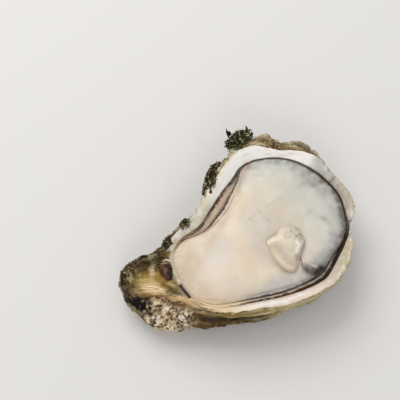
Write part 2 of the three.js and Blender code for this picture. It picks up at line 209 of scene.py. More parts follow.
def bubbles(points, size, seed):
    """Scattered centres a size apart: the distance to the nearest, in sizes, and that one's own number."""
    at = np.asarray(points) / size
    cell = np.floor(at).astype(np.int64)
    nearest = np.full(at.shape[:-1], 9.0)
    number = np.zeros(at.shape[:-1])
    for step in np.ndindex(3, 3, 3):
        other = cell + np.array(step) - 1
        middle = other + np.stack([chance(other, seed + k) for k in range(3)], -1)
        distance = np.linalg.norm(middle - at, axis=-1)
        number = np.where(distance < nearest, chance(other, seed + 3), number)
        nearest = np.minimum(distance, nearest)
    return nearest, number


def walk(u, across, stretch=1.0):
    """A place for patterns that follow the rim: across runs over it, and stretch draws them out."""
    radius = WALK_RADIUS / stretch
    return xyz(radius * np.cos(TURN * u), radius * np.sin(TURN * u), across)


def skin(name, grid, **marks):
    """A closed skin over a grid of rings, in millimetres. It keeps numbers or a colour at each vertex."""
    rings, segments = len(grid) - 1, len(grid[0])
    bpy.ops.object.select_all(action="DESELECT")
    bpy.ops.mesh.primitive_grid_add(x_subdivisions=segments, y_subdivisions=rings, size=2)
    piece = bpy.context.object
    piece.name = piece.data.name = name
    at = np.empty(len(piece.data.vertices) * 3)
    piece.data.vertices.foreach_get("co", at)
    at = at.reshape(-1, 3)
    ring = np.rint((at[:, 1] + 1) / 2 * rings).astype(int)
    place = np.rint((at[:, 0] + 1) / 2 * segments).astype(int) % segments
    shape(piece, grid[ring, place])
    for mark_name, values in marks.items():
        values = np.broadcast_to(values, grid.shape[:2] + np.shape(values)[2:])
        mark(piece, mark_name, values[ring, place])
    bpy.ops.object.mode_set(mode="EDIT")
    bpy.ops.mesh.select_all(action="SELECT")
    bpy.ops.mesh.remove_doubles(threshold=1e-7)
    bpy.ops.object.mode_set(mode="OBJECT")
    return piece


def shape(piece, points):
    """Puts each vertex of a piece in its place, in millimetres, and smooths its shading."""
    piece.data.vertices.foreach_set("co", ((points + MIDDLE) / METRE).astype(np.float32).ravel())
    piece.data.update()
    bpy.ops.object.select_all(action="DESELECT")
    piece.select_set(True)
    bpy.context.view_layer.objects.active = piece
    bpy.ops.object.shade_smooth()


def mark(piece, name, values):
    """Keeps a number or a colour for each vertex, for the material to read."""
    values = np.asarray(values, np.float32)
    if values.ndim == 1:
        piece.data.attributes.new(name, "FLOAT", "POINT").data.foreach_set("value", values)
    elif name == "tint":
        rgba = np.concatenate([values, np.ones((len(values), 1), np.float32)], 1)
        piece.data.attributes.new(name, "FLOAT_COLOR", "POINT").data.foreach_set("color", rgba.ravel())
    else:
        piece.data.attributes.new(name, "FLOAT_VECTOR", "POINT").data.foreach_set("vector", values.ravel())


def facing(grid):
    """The outward direction at each place of a grid of rings."""
    around = np.roll(grid, -1, 1) - np.roll(grid, 1, 1)
    normal = np.cross(around, np.gradient(grid, axis=0))
    return normal / np.maximum(np.linalg.norm(normal, axis=-1, keepdims=True), 1e-9)


def colour(red, green, blue):
    """A colour off a paint card, 0 to 255, as the linear light that a material works in."""
    share = np.array([red, green, blue]) / 255
    return np.where(share <= 0.04045, share / 12.92, ((share + 0.055) / 1.055) ** 2.4)


def base_coat(points, paint):
    return np.full(points.shape, colour(*paint))


def over(ground, mask, paint):
    """Lays a paint over a ground where a mask says: one off the card, or a light for each place."""
    paint = colour(*paint) if isinstance(paint, tuple) else paint
    ground += (paint - ground) * np.clip(mask, 0, 1)[..., None]


def coats(ground, points, rows):
    """Lays paints one over another. A row starts with where and ends with the paint. Between them may stand
    how full the paint is, how much that varies and with what: a size and a seed of lumps, or a pattern."""
    for where, *cover, paint in rows:
        if cover:
            full, vary, pattern = cover
            pattern = lumps(points, *pattern) if isinstance(pattern, tuple) else pattern
            where = where * (full + vary * pattern)
        over(ground, where, paint)


class Wire:
    """A socket of a material. Sums on it add Math nodes, and node() adds any other node."""

    def __init__(self, tree, socket=None):
        self.tree = tree
        self.socket = socket

    def node(self, kind, settings=None, values=None, output=0):
        made = self.tree.nodes.new(kind)
        for name, setting in (settings or {}).items():
            setattr(made, name, setting)
        for name, value in (values or {}).items():
            if isinstance(value, Wire):
                self.tree.links.new(value.socket, made.inputs[name])
            else:
                made.inputs[name].default_value = value
        return Wire(self.tree, made.outputs[output]) if made.outputs else None

    def sum(self, operation, *values):
        return self.node("ShaderNodeMath", {"operation": operation}, dict(enumerate(values)))

    def __add__(self, other):
        return self.sum("ADD", self, other)

    def __sub__(self, other):
        return self.sum("SUBTRACT", self, other)

    def __rsub__(self, other):
        return self.sum("SUBTRACT", other, self)

    def __mul__(self, other):
        return self.sum("MULTIPLY", self, other)

    __radd__, __rmul__ = __add__, __mul__

    def between(self, low, high):
        """0 below low and 1 above high, smoothly."""
        settings = {"interpolation_type": "SMOOTHSTEP"}
        return self.node("ShaderNodeMapRange", settings, {"Value": self, "From Min": low, "From Max": high})

    def mark(self, name, output="Fac"):
        return self.node("ShaderNodeAttribute", {"attribute_name": name}, output=output)

    def place(self):
        return self.node("ShaderNodeTexCoord", output="Object")

    def scaled(self, along_x, along_y, along_z):
        """This place with each axis scaled, so that a pattern read there is drawn out or crowded."""
        return self.node("ShaderNodeMapping", {}, {"Vector": self, "Scale": (along_x, along_y, along_z)})

    def grain(self, size, detail, at=None):
        """Noise about a size across: in millimetres, or in the units of another place."""
        values = {"Vector": at or self.place(), "Scale": 1 / size if at else METRE / size, "Detail": detail}
        return self.node("ShaderNodeTexNoise", {}, values)

    def laid(self, paint, mask):
        """A paint off the card laid over this colour where the mask says."""
        values = {0: mask, 6: self, 7: (*colour(*paint), 1)}
        return self.node("ShaderNodeMix", {"data_type": "RGBA"}, values, 2)

    def bumped(self, height, depth):
        """The normal over a relief of a depth in millimetres."""
        values = {"Height": height, "Distance": depth / METRE, "Strength": 1.0}
        return self.node("ShaderNodeBump", {}, values)


def new_material(name):
    """A new material's first wire, and a function that ends it in a shader and gives the material."""
    material = bpy.data.materials.new(name)
    material.use_nodes = True
    material.node_tree.nodes.clear()
    start = Wire(material.node_tree)

    def finish(**sockets):
        values = {socket.replace("_", " "): value for socket, value in sockets.items()}
        shader = start.node("ShaderNodeBsdfPrincipled", {}, values)
        start.node("ShaderNodeOutputMaterial", {}, {"Surface": shader})
        return material

    return start, finish


VALVE_SEGMENTS = 640
BEAK_CROWDING, BEAK_AT = 0.4, 0.69  # the segments stand closer together round the beak
DRAWN_IN = [0.97, 0.88, 0.78, 0.69, 0.655, 0.56, 0.45, 0.36, 0.32, 0.2, 0.08, 0]
OLDER_RINGS, WHITE_RINGS = 18, 22
SHELF_HALF_STEP = 0.015
CUP_DEPTHS = [0.03, 0.08, 0.15, 0.25, 0.35, 0.6, 0.8, 1]

even = np.arange(VALVE_SEGMENTS) / VALVE_SEGMENTS
u = even + BEAK_CROWDING * np.sin(TURN * (even - BEAK_AT - 0.5)) / TURN
sharp_edge, cup_edge = rim_at(u), cup_edge_at(u)
rim_width = np.linalg.norm((sharp_edge - cup_edge)[:, :2], axis=1)
off_rim = outward(rim_at, u, 0.03)


def foot_at(edge):
    angle = np.arctan2(
        (edge[..., 1] - FOOT["y"]) * FOOT["half_length"], (edge[..., 0] - FOOT["x"]) * FOOT["half_width"]
    )
    x = FOOT["x"] + FOOT["half_length"] * np.cos(angle)
    y = FOOT["y"] + FOOT["half_width"] * np.sin(angle)
    return xyz(x, y, 0)


foot_edge = foot_at(sharp_edge)


def trough_at(x, y):
    """The depth of the trough that runs out along the hinge beak."""
    axis = (HINGE_TO - HINGE_FROM) / np.linalg.norm(HINGE_TO - HINGE_FROM)
    dx, dy = x - HINGE_FROM[0], y - HINGE_FROM[1]
    across = (dx * axis[1] - dy * axis[0]) / TROUGH_HALF_WIDTH
    start = smooth(-4, 5, dx * axis[0] + dy * axis[1])
    return TROUGH_DEPTH * start * np.maximum(0, 1 - across**2) ** 1.5


def cup_at(u, c, clear=0.0):
    """The inside of the cup, c from 0 at its edge to 1 at the edge of its floor."""
    edge = cup_edge_at(u)
    low = foot_at(rim_at(u))
    bend = c * math.pi / 2
    inner = mixed(low, edge, FLOOR["share"]) + [FLOOR["x"] - FOOT["x"], FLOOR["y"] - FOOT["y"], 0]
    place = mixed(edge, inner, 1 - math.cos(bend))
    clear = np.asarray(clear)[..., None]
    place = place - clear * math.cos(bend) * outward(cup_edge_at, u)
    place[..., 2] = mixed(edge[:, 2], FLOOR["thickness"], math.sin(bend)) + clear[..., 0] * math.sin(bend)
    return place


# The wall from the foot up to the sharp edge. p runs from 1 at the foot to 0, and each layer draws in
# as it goes down, until the next older one stands out under it as a ledge.
foot_rings = [mixed(np.array([FOOT["x"], FOOT["y"], 0.0]), foot_edge, share) for share in (0, 1 / 3, 2 / 3)]
wall_p = [1.0] + [(layer + share) / LAMELLAE for layer in range(LAMELLAE - 1, -1, -1) for share in DRAWN_IN]
p = np.array(wall_p)[:, None]
layer = np.minimum(np.floor(p * LAMELLAE + 1e-6), LAMELLAE - 1)
drawn_in = p * LAMELLAE - layer
fine = drawn_in * FINE_LAYERS - np.floor(drawn_in * FINE_LAYERS + 1e-6)
bend = (p + WALL_WANDER * wave(u, 3) * np.sin(math.pi * p)) * math.pi / 2
wall = mixed(foot_edge, sharp_edge, np.cos(bend)[..., None])
wall[..., 2] = sharp_edge[:, 2] * (1 - np.sin(bend))
wall = wall + (swell_at(u) * np.sin(2 * bend))[..., None] * off_rim

# The top of the rim, from the sharp edge to the cup: the older layer, then the white one a step higher.
ragged_shelf = shelf_at(u) + mottle(walk(u, 0), (0.035, 3.5, 31), (0.02, 1.3, 32))
ragged_shelf = np.clip(ragged_shelf, 0.03, 0.78)
w = np.concatenate(
    [
        (ragged_shelf - SHELF_HALF_STEP) * np.linspace(0, 1, OLDER_RINGS + 1)[1:, None],
        mixed(ragged_shelf + SHELF_HALF_STEP, 1, np.linspace(0, 1, WHITE_RINGS + 1)[:, None]),
    ]
)
rim_top = mixed(sharp_edge, cup_edge, w[..., None])
rim_top[..., 2] += RIM_CROWN * np.sin(math.pi * w)
away_from_edge = np.sqrt(np.sin(math.pi * np.minimum(1, 0.25 + 0.75 * w)))
rim_top[..., 2] -= away_from_edge * trough_at(rim_top[..., 0], rim_top[..., 1])

cup = np.stack([cup_at(u, c) for c in CUP_DEPTHS])
floor_ring = np.broadcast_to([FLOOR["x"], FLOOR["y"], FLOOR["thickness"]], foot_edge.shape)
plain = np.concatenate([np.stack(foot_rings), wall, rim_top, cup, floor_ring[None]])
on_wall = slice(3, 3 + len(wall))
on_rim = slice(on_wall.stop, on_wall.stop + len(rim_top))
away = facing(plain)
x, y = plain[..., 0], plain[..., 1]


def only(part, values):
    """A number for the whole valve that is nought off one part of it."""
    everywhere = np.zeros(x.shape)
    everywhere[part] = values
    return everywhere


is_wall, is_rim, is_cup = only(on_wall, 1), only(on_rim, 1), only(slice(on_rim.stop, None), 1)

# How far out each place stands. The crust is rough, the ledges have torn lips, and the flank by the
# beak is full of worm holes with raised rims.
WALL_LENGTH, LANE_APART = 30, 9
level = only(on_wall, p)
level_mm = level * WALL_LENGTH
in_lamella = only(on_wall, drawn_in)
lane = only(on_wall, layer * LANE_APART)
belly = np.clip(np.sin(math.pi * level), 0, 1)
fade = np.sqrt(belly)
flank = along_rim(u, 20.8, 23.9) * is_wall * smooth(0.015, 0.045, level) * (1 - smooth(0.8, 0.97, level))
grooved = along_rim(u, 23.5, 29.2) * is_wall
ledge = LAMELLA_WANDER * wave(u, layer + LAMELLAE) - LAMELLA_STEP * drawn_in * (1 + 0.5 * wave(u, layer))
ledge = only(on_wall, ledge - FINE_STEP * fine)
lip = np.exp(-in_lamella / 0.2) * is_wall
torn = mottle(walk(u, lane), (0.7, 2.4, 1), (0.5, 1, 2))
flute = 0.7 * np.sin(TURN * FLUTES * u + 2 * wave(u, 4)) * belly**0.7
crust = mottle(plain, (0.5, 6, 11), (0.45, 2.7, 12), (0.3, 1.3, 13))
swirled = plain + 1.3 * np.stack([lumps(plain, 4, seed) for seed in (15, 16, 17)], -1)
cleft = 1 - smooth(0.02, 0.17, np.abs(lumps(swirled, 3.6, 19) + 0.25 * lumps(plain, 1.4, 20)))


def sunk(apart, seed, least, spread, rare):
    """The hollow of each worm hole and its raised ring, for the holes whose number passes a limit."""
    distance, number = bubbles(swirled, apart, seed)
    size = least + spread * number
    whole_crust = 1 - 0.9 * spot(x, y, -45.4, -21.6, 2.6, 1.3, 0.1)
    hollow = (1 - smooth(size * 0.6, size, distance)) * (number > rare) * whole_crust
    return hollow, bell(distance, size * 1.25, 0.12) * (number > rare)


HOLES = [(4.6, 14, 0.1, 0.18, 0.2), (2.5, 18, 0.16, 0.26, 0.42), (1.4, 26, 0.2, 0.2, 0.7)]
(wide_pit, wide_ring), (pit, pit_ring), (small_pit, small_ring) = (sunk(*holes) for holes in HOLES)
off_edge = is_wall * np.exp(-level_mm / 1.2) + only(on_rim, np.exp(-w * rim_width / 0.9))
chips = -0.9 * np.maximum(0, lumps(walk(u, 0), 4.5, 41)) + 0.45 * lumps(walk(u, 0), 1.7, 42)
chips = chips + 0.3 * lumps(walk(u, 0), 0.8, 43)

stand_out = ledge * (1 - 0.6 * flank) + lip * torn * (1 - flank) + flute * (1 - 0.5 * flank)
stand_out = is_wall * fade * stand_out
rough = is_wall * np.maximum(fade, 0.35 * (level < 0.5))
rough = rough * smooth(0, 0.02, level) * (1 - smooth(0.93, 1, level))
relief = rough * crust * (1 + 0.4 * flank) + 0.35 * flank * (wide_ring + pit_ring + 0.5 * small_ring)
relief -= flank * (1.6 * wide_pit + 1.2 * pit + 0.5 * small_pit + 0.25 * cleft)
relief += flank * 0.9 * lumps(swirled, 2.6, 38)
grooves = lumps(walk(u, level_mm / 1.1, 5), 1, 33)
relief += rough * grooved * 0.5 * grooves

# The rim's own relief: growth lines, the step between the layers, and the marks of the opening knife.
RIDGE = [(-50, -14.5), (-46.1, -16.3), (-40.3, -20.4), (-34.5, -24.5), (-30.2, -28.6), (-27.8, -32.4)]
SLIT = [(-31.8, -17.5), (-31.2, -19.5), (-30.6, -21.5), (-29.8, -24.3)]
across_mm = only(on_rim, w * rim_width)
older = only(on_rim, 1 - smooth(-SHELF_HALF_STEP, SHELF_HALF_STEP, w - ragged_shelf))
white = is_cup + is_rim * (1 - older)
beak = along_rim(u, 16.2, 23.6, 0.5) * is_rim
grain_lines = lumps(walk(u, across_mm / 0.6 + 1.5 * lumps(walk(u, 0), 5, 50), 7), 1, 51) * is_rim
lift = only(on_rim, np.where(w > ragged_shelf, SHELF_STEP * (1 - w), 0))
lift += older * is_rim * (0.35 * grain_lines + mottle(plain, (0.3, 2.2, 52), (0.2, 1, 53)))
lift += white * is_rim * (0.06 * grain_lines + 0.14 * lumps(plain, 4, 54)) * (1 - beak)
lift += 0.3 * off_edge * is_rim * lumps(walk(u, 0), 3, 44)
CRACKS = [[(55.2, 7), (52.9, 6.1), (50.4, 5)], [(50, -14.9), (52, -15.8), (54.6, -16.8)]]
FOLD = [(33.3, 37.2), (33.1, 34.4), (32.8, 31.6), (30.9, 28.6)]
crack = sum(stroke(x, y, path, 0.3) for path in CRACKS) * is_rim
fold = stroke(x, y, FOLD, 0.6) * is_rim * older
# The notches in the sharp edge: where each is, and its size.
NOTCHES = [
    (33.6, 36, 1.5), (54.8, 7, 0.9), (54.4, -16.4, 0.9), (8.5, 33.4, 1.1), (-7.8, 17.6, 1.0),
    (-15, 13, 0.8),
]
edge_x, edge_y = sharp_edge[:, 0], sharp_edge[:, 1]
notch = sum(bell(np.hypot(edge_x - nx, edge_y - ny), 0, size) for nx, ny, size in NOTCHES)
lift -= 0.5 * crack + 0.6 * fold

# The hinge: a cream field scored along its length, a folded ridge below it, a slit, and crust over the tip.
from_ridge = off_path(x, y, RIDGE)
field = beak * spot(x, y, -42.5, -12, 9, 6.4, -0.35)
ridge = stroke(x, y, RIDGE, 1.1) * is_rim
slit = stroke(x, y, SLIT, 0.66) * is_rim
field_lines = lumps(xyz(x / 6, from_ridge / 0.7, 0), 1, 61)
fine_scores = lumps(xyz(x / 2.5, from_ridge / 0.35, 0), 1, 57)
tip_crust = beak * np.clip(1.5 - 1.7 * field - ridge - smooth(-37, -32, x), 0, 1)
knobs, knob_number = bubbles(plain, 2, 62)
knob = (1 - smooth(0.2, 0.75, knobs)) * (knob_number > 0.3)
lift += 0.9 * ridge + beak * (0.25 * field_lines + 0.12 * fine_scores) - 1.8 * slit
lift += tip_crust * (0.7 * lumps(plain, 3, 63) + 0.35 * knob + 0.5 * lumps(plain, 1.2, 64))

spread = plain + relief[..., None] * away + stand_out[..., None] * off_rim
spread = spread + (off_edge * (chips - 1.6 * notch))[..., None] * off_rim
spread[..., 2] += lift
spread[..., 2] = np.maximum(spread[..., 2], 0)

# The crust's colours on the wall, layer over layer, with painted shade where each layer draws in.
CRUST_OLIVE, CRUST_TAN, CRUST_LIGHT = (98, 84, 52), (146, 124, 90), (200, 186, 156)
CRUST_DARK, HOLE_DARK, LIP_LIGHT = (52, 38, 22), (38, 27, 16), (216, 204, 178)
FLANK_LIGHT, FLANK_TAN, FLANK_BLACK = (248, 224, 184), (182, 140, 86), (13, 10, 11)
FLANK_PINK, FLANK_YELLOW, FLANK_BROWN = (200, 166, 138), (222, 194, 136), (66, 48, 24)
MOSS, MOSS_YELLOW, WET_BROWN = (108, 94, 46), (194, 178, 122), (74, 54, 28)

tint = base_coat(plain, CRUST_OLIVE)
stripe_end = 0.14 + 0.165 * along_rim(u, 26, 29) + 0.035 * lumps(walk(u, 0), 3, 40) + 0.03 * grooves
top_stripe = grooved * along_rim(u, 24.7, 30) * (1 - smooth(-0.015, 0.015, level - stripe_end))
tail_side = along_rim(u, 23.3, 24.9) * is_wall
yellow_stripe = top_stripe * along_rim(u, 26, 27.6) * (0.7 + 0.8 * lumps(plain, 1.6, 94))
pale_side = along_rim(u, 27.1, 35.2) * is_wall * (1 - smooth(0.2, 0.26, level))
coats(tint, plain, [
    (1, 0.5, 1, (7, 21), CRUST_TAN),
    (1, -0.3, 1.5, (3.1, 22), CRUST_LIGHT),
    (1, -0.2, 1.7, (3.6, 23), CRUST_DARK),
    # painted shade: darker in the recess where each layer draws in above the next one's ledge
    (0.8 * smooth(0.75, 1, in_lamella) * is_wall * (1 - flank), CRUST_DARK),
    (0.75 * lip, 0.6, 1, (1.5, 24), LIP_LIGHT),
    (grooved, 0.75, 0.8, (2.4, 34), WET_BROWN),
    (grooved * (1.1 * lumps(plain, 1.6, 35) + 0.5 * grooves - 0.1), (138, 108, 62)),
    (top_stripe, 1.1, 0.5, (3, 25), MOSS),
    (top_stripe, 0.5, 1.2, lumps(walk(u, level_mm, 3), 1, 36), MOSS_YELLOW),
    (top_stripe, -0.5, 2, (1.3, 65), (206, 194, 154)),
    (top_stripe, -0.45, 2, (1.2, 66), (66, 54, 22)),
    (tail_side * smooth(0.04, 0.07, level), 1, 0.6, grooves, WET_BROWN),
    (tail_side * smooth(0.06, 0.1, level), -0.9, 2.4, grooves, (150, 128, 92)),
    (tail_side * smooth(0.05, 0.09, level), -0.4, 1.6, (3, 47), (26, 17, 8)),
    (tail_side * bell(level + 0.012 * grooves, 0.03, 0.016), FLANK_YELLOW),
    (yellow_stripe, (206, 194, 150)),
    (pale_side, (198, 186, 156)),
    (pale_side * along_rim(u, 29, 35), (214, 206, 190)),
    (pale_side, -0.1, 0.9, lumps(walk(u, level_mm, 3), 1, 45), MOSS_YELLOW),
])

# The pale places on the flank, pale crust with a painted highlight on it: the middle, the half sizes, the
# turn and the strength of each.
PALE_AND_LIT_PLACES = [
    (-39, -29.4, 6, 4, -0.65, 1), (-45.4, -19.8, 3, 1.4, -0.4, 1), (-47.6, -27.4, 4, 2, -0.8, 0.7),
    (-34, -28, 2.4, 1.6, -0.6, 0.6), (-42, -24, 4.6, 3, -0.5, 0.7), (-43.8, -30.2, 3, 1.8, -0.5, 0.8),
]
pale_and_lit_side = np.clip(sum(strength * spot(x, y, *oval) for *oval, strength in PALE_AND_LIT_PLACES), 0, 1.2)
knobbly = 0.75 * lumps(swirled, 2.6, 38) + mottle(plain, (0.5, 1.3, 28), (0.35, 4.2, 37))
dark_end = flank * along_rim(u, 23.5, 24.5, 0.4)
lower_left = flank * spot(x, y, -53, -23.4, 5.4, 3.4, -0.9)
lower_right = flank * spot(x, y, -34.6, -33.2, 4.6, 2.6, 0.3)
specks = 0.7 * lumps(swirled, 1.2, 69) + 0.5 * lumps(plain, 0.7, 70)
speck_light = flank * (1 - 0.8 * lower_left - 0.6 * lower_right) * (0.35 + 0.55 * pale_and_lit_side)
dark_tail = along_rim(u, 23.9, 25, 0.35) * is_wall * smooth(0.03, 0.06, level)
streaks = lumps(walk(u, level_mm * 4, 5), 4, 92) + 0.3 * grooves
streaked = along_rim(u, 23.8, 26.6) * is_wall * smooth(0.02, 0.04, level) * (1 - smooth(0.16, 0.22, level))
purple_spot = spot(x, y, -24.8, -35.6, 2.6, 1.4, -0.4) * is_wall
top_edge_shadow = along_rim(u, 20.9, 23.4) * is_wall * (1 - smooth(0.03, 0.055, level))
black_patch = 1 - smooth(0.1, 0.22, level + 0.1 * lumps(plain, 2.2, 46))
black_patch = black_patch * along_rim(u, 20, 21.5, 0.35) * is_wall
CREVICE = [(-51, -20.4), (-49.6, -22.4), (-48.6, -24.6)]
coats(tint, plain, [
    (flank, FLANK_TAN),
    (flank * 0.8 * smooth(0.08, 0.34, -knobbly - 0.35 * pale_and_lit_side), FLANK_BROWN),
    # pale crust, lighter still in the places with a painted highlight
    (flank * 0.95 * smooth(-0.02, 0.25, knobbly + 0.4 * pale_and_lit_side - 0.08), FLANK_LIGHT),
    # painted highlight: near white on the knob tops in the pale, lit places
    (flank * pale_and_lit_side * 1.2 * smooth(0, 0.3, knobbly), (255, 246, 228)),
    (dark_end * (1 - smooth(0.1, 0.35, knobbly)), (60, 42, 18)),
    (1.5 * lower_left * (1 - smooth(0.3, 0.55, knobbly)), (100, 76, 44)),
    (1.4 * lower_right * (1 - smooth(0.25, 0.5, knobbly)), (84, 60, 34)),
    (speck_light * smooth(0.08, 0.38, specks), (252, 236, 206)),
    (flank * 0.85 * smooth(0.16, 0.4, -specks), (62, 40, 20)),
    (flank, -0.5, 1.6, lumps(swirled, 2.2, 27), FLANK_PINK),
    (flank, -0.7, 1.6, lumps(swirled, 2.4, 39), FLANK_YELLOW),
    (0.6 * flank * np.maximum.reduce([wide_ring, pit_ring, small_ring]), FLANK_LIGHT),
    # painted shade: dark down in the clefts, less so in the pale, lit places
    (flank * cleft * (0.95 - 0.45 * pale_and_lit_side), (46, 31, 16)),
    # painted shade: dark down in the worm holes
    (flank * np.maximum.reduce([wide_pit, pit, 0.9 * small_pit]), HOLE_DARK),
    (dark_tail, 0.9, 0.5, (2.2, 71), (72, 50, 20)),
    (dark_tail * smooth(0.1, 0.14, level), 0.6, 0.9, (1.6, 91), (112, 92, 52)),
    (dark_tail, -0.8, 1.9, grooves, (148, 128, 88)),
    (streaked * 0.9 * smooth(0.04, 0.26, streaks), (150, 124, 66)),
    (streaked * 0.8 * smooth(0.12, 0.36, -streaks), (34, 20, 8)),
    (dark_tail * (1 - smooth(0.1, 0.14, level)), -0.55, 1.8, (1.6, 90), (24, 15, 6)),
    (0.9 * purple_spot, (88, 74, 66)),
    # painted shadow: brown along the flank's top under the hinge ridge, with pale crust flecks laid over it
    # in the next row
    (top_edge_shadow, (112, 84, 46)),
    (top_edge_shadow * smooth(-0.05, 0.3, lumps(plain, 1.6, 45) + 0.4 * lumps(plain, 0.9, 56)), (200, 172, 130)),
    # painted shade: dark down in the crevice
    (stroke(x, y, CREVICE, 0.45) * is_wall * (level < 0.3), HOLE_DARK),
    (black_patch, 1.2, 1.1, (1.8, 29), FLANK_BLACK),
    (black_patch, -0.9, 1.8, (1.2, 30), CRUST_LIGHT),
])

# The rim: the older layer's brown and yellow bands, and the white layer with its pink and grey places.
BAND_BROWN, BAND_TAN, BAND_DARK = (120, 94, 60), (186, 162, 120), (58, 40, 20)
BAND_YELLOW, BAND_OLIVE, BAND_PALE = (206, 194, 154), (178, 166, 108), (210, 202, 178)
WHITE, WHITE_SHADE, WHITE_YELLOW = (254, 252, 247), (224, 214, 200), (214, 196, 152)
WHITE_GREY, WHITE_PINK, WHITE_SAND = (184, 172, 160), (232, 216, 206), (200, 187, 166)
RIM_SHADE, RIM_PEACH = (150, 148, 144), (228, 202, 166)
FIELD_CREAM, FIELD_GOLD, FIELD_OLIVE = (236, 214, 174), (160, 124, 56), (58, 41, 10)
FIELD_OCHRE, FIELD_LEMON, FRONT_CREAM = (132, 98, 28), (168, 150, 76), (224, 206, 174)
RIDGE_PEACH, UNDER_RIDGE_SHADE = (214, 176, 126), (112, 78, 42)
SLIT_GREEN, SLIT_BLACK, TIP_GREEN = (174, 162, 114), (16, 13, 6), (84, 74, 42)
TIP_LIGHT, CUP_SIDE = (182, 176, 140), (164, 154, 138)

band = is_rim * older
fine_lines = lumps(walk(u, across_mm / 0.35, 9), 1, 55)
TOP_BROWN, TOP_CREAM, TOP_DARK = (136, 104, 68), (208, 194, 150), (70, 52, 32)
# The streaks of the older layer by the top: each one's strength, half width and path.
BROWN_STREAKS = [
    (1, 1.0, [(21, 37.6), (25.4, 36.3), (28.4, 34.8), (29.6, 32.4), (30, 29.4)]),
    (1, 1.3, [(31.7, 29.1), (36.1, 27.5), (39.4, 25.9), (43.5, 23.2), (46.6, 20)]),
]
CREAM_STREAKS = [
    (1, 0.8, [(20.5, 35.4), (24.6, 34.4), (28.2, 32.8)]),
    (1, 0.9, [(20.5, 39.4), (26, 38.4), (30.4, 36.6)]),
    (0.9, 1.5, [(38, 30.2), (40.2, 28.8), (43, 26.6)]),
]
brown_streak, cream_streak = (
    sum(strength * stroke(x, y, path, half_width) for strength, half_width, path in streaks)
    for streaks in (BROWN_STREAKS, CREAM_STREAKS)
)
green_band = band * along_rim(u, 14.7, 17.4, 0.4)
coats(tint, plain, [
    (band, BAND_BROWN),
    (band, 0.5, 1.7, grain_lines, BAND_TAN),
    (band, -0.3, 2.2, fine_lines, BAND_DARK),
    (band, -0.4, 1.5, (2.4, 72), BAND_DARK),
    (band * along_rim(u, 9.6, 14.4), 0.7, 0.8, (2.2, 67), BAND_YELLOW),
    (band * along_rim(u, 9.6, 14.4), -0.2, 1.6, (1.3, 68), (232, 224, 200)),
    (band * along_rim(u, 1.2, 3.9), 1, 0.4, grain_lines, (206, 194, 174)),
    (band * brown_streak, 1.1, 0.6, grain_lines, TOP_BROWN),
    (band * cream_streak, 1.1, 0.6, grain_lines, TOP_CREAM),
    (band * 0.8 * spot(x, y, 29, 34.4, 2.6, 1.6, -0.3), 1, 0.5, grain_lines, (104, 82, 54)),
    (1.1 * band * stroke(x, y, [(32, 32.2), (34.6, 31), (37.2, 29.8)], 0.5), TOP_DARK),
    (band * spot(x, y, 43.8, 27.8, 2.6, 2, -0.75), BAND_OLIVE),
    (band * spot(x, y, 44.6, 27.4, 3.2, 2.2, -0.9), 1.2, 1, (1.2, 77), (74, 66, 30)),
    (band * off_edge, 0.4, 1, (2.4, 78), BAND_PALE),
    # painted shade: dark down in the fold of the older layer
    (fold * 0.95, BAND_DARK),
    (band * along_rim(u, 23, 24.8), 0.9, 0.5, fine_lines, (128, 98, 50)),
    (band * along_rim(u, 24.8, 27.2) * 0.9, MOSS_YELLOW),
    (band * along_rim(u, 27.2, 31.6), (198, 187, 152)),
    (green_band * 1.2, FIELD_OLIVE),
    (green_band, 0.45, 1.2, (2, 86), (58, 56, 22)),
    (green_band, -0.5, 1.6, (1.8, 87), FIELD_OCHRE),
])

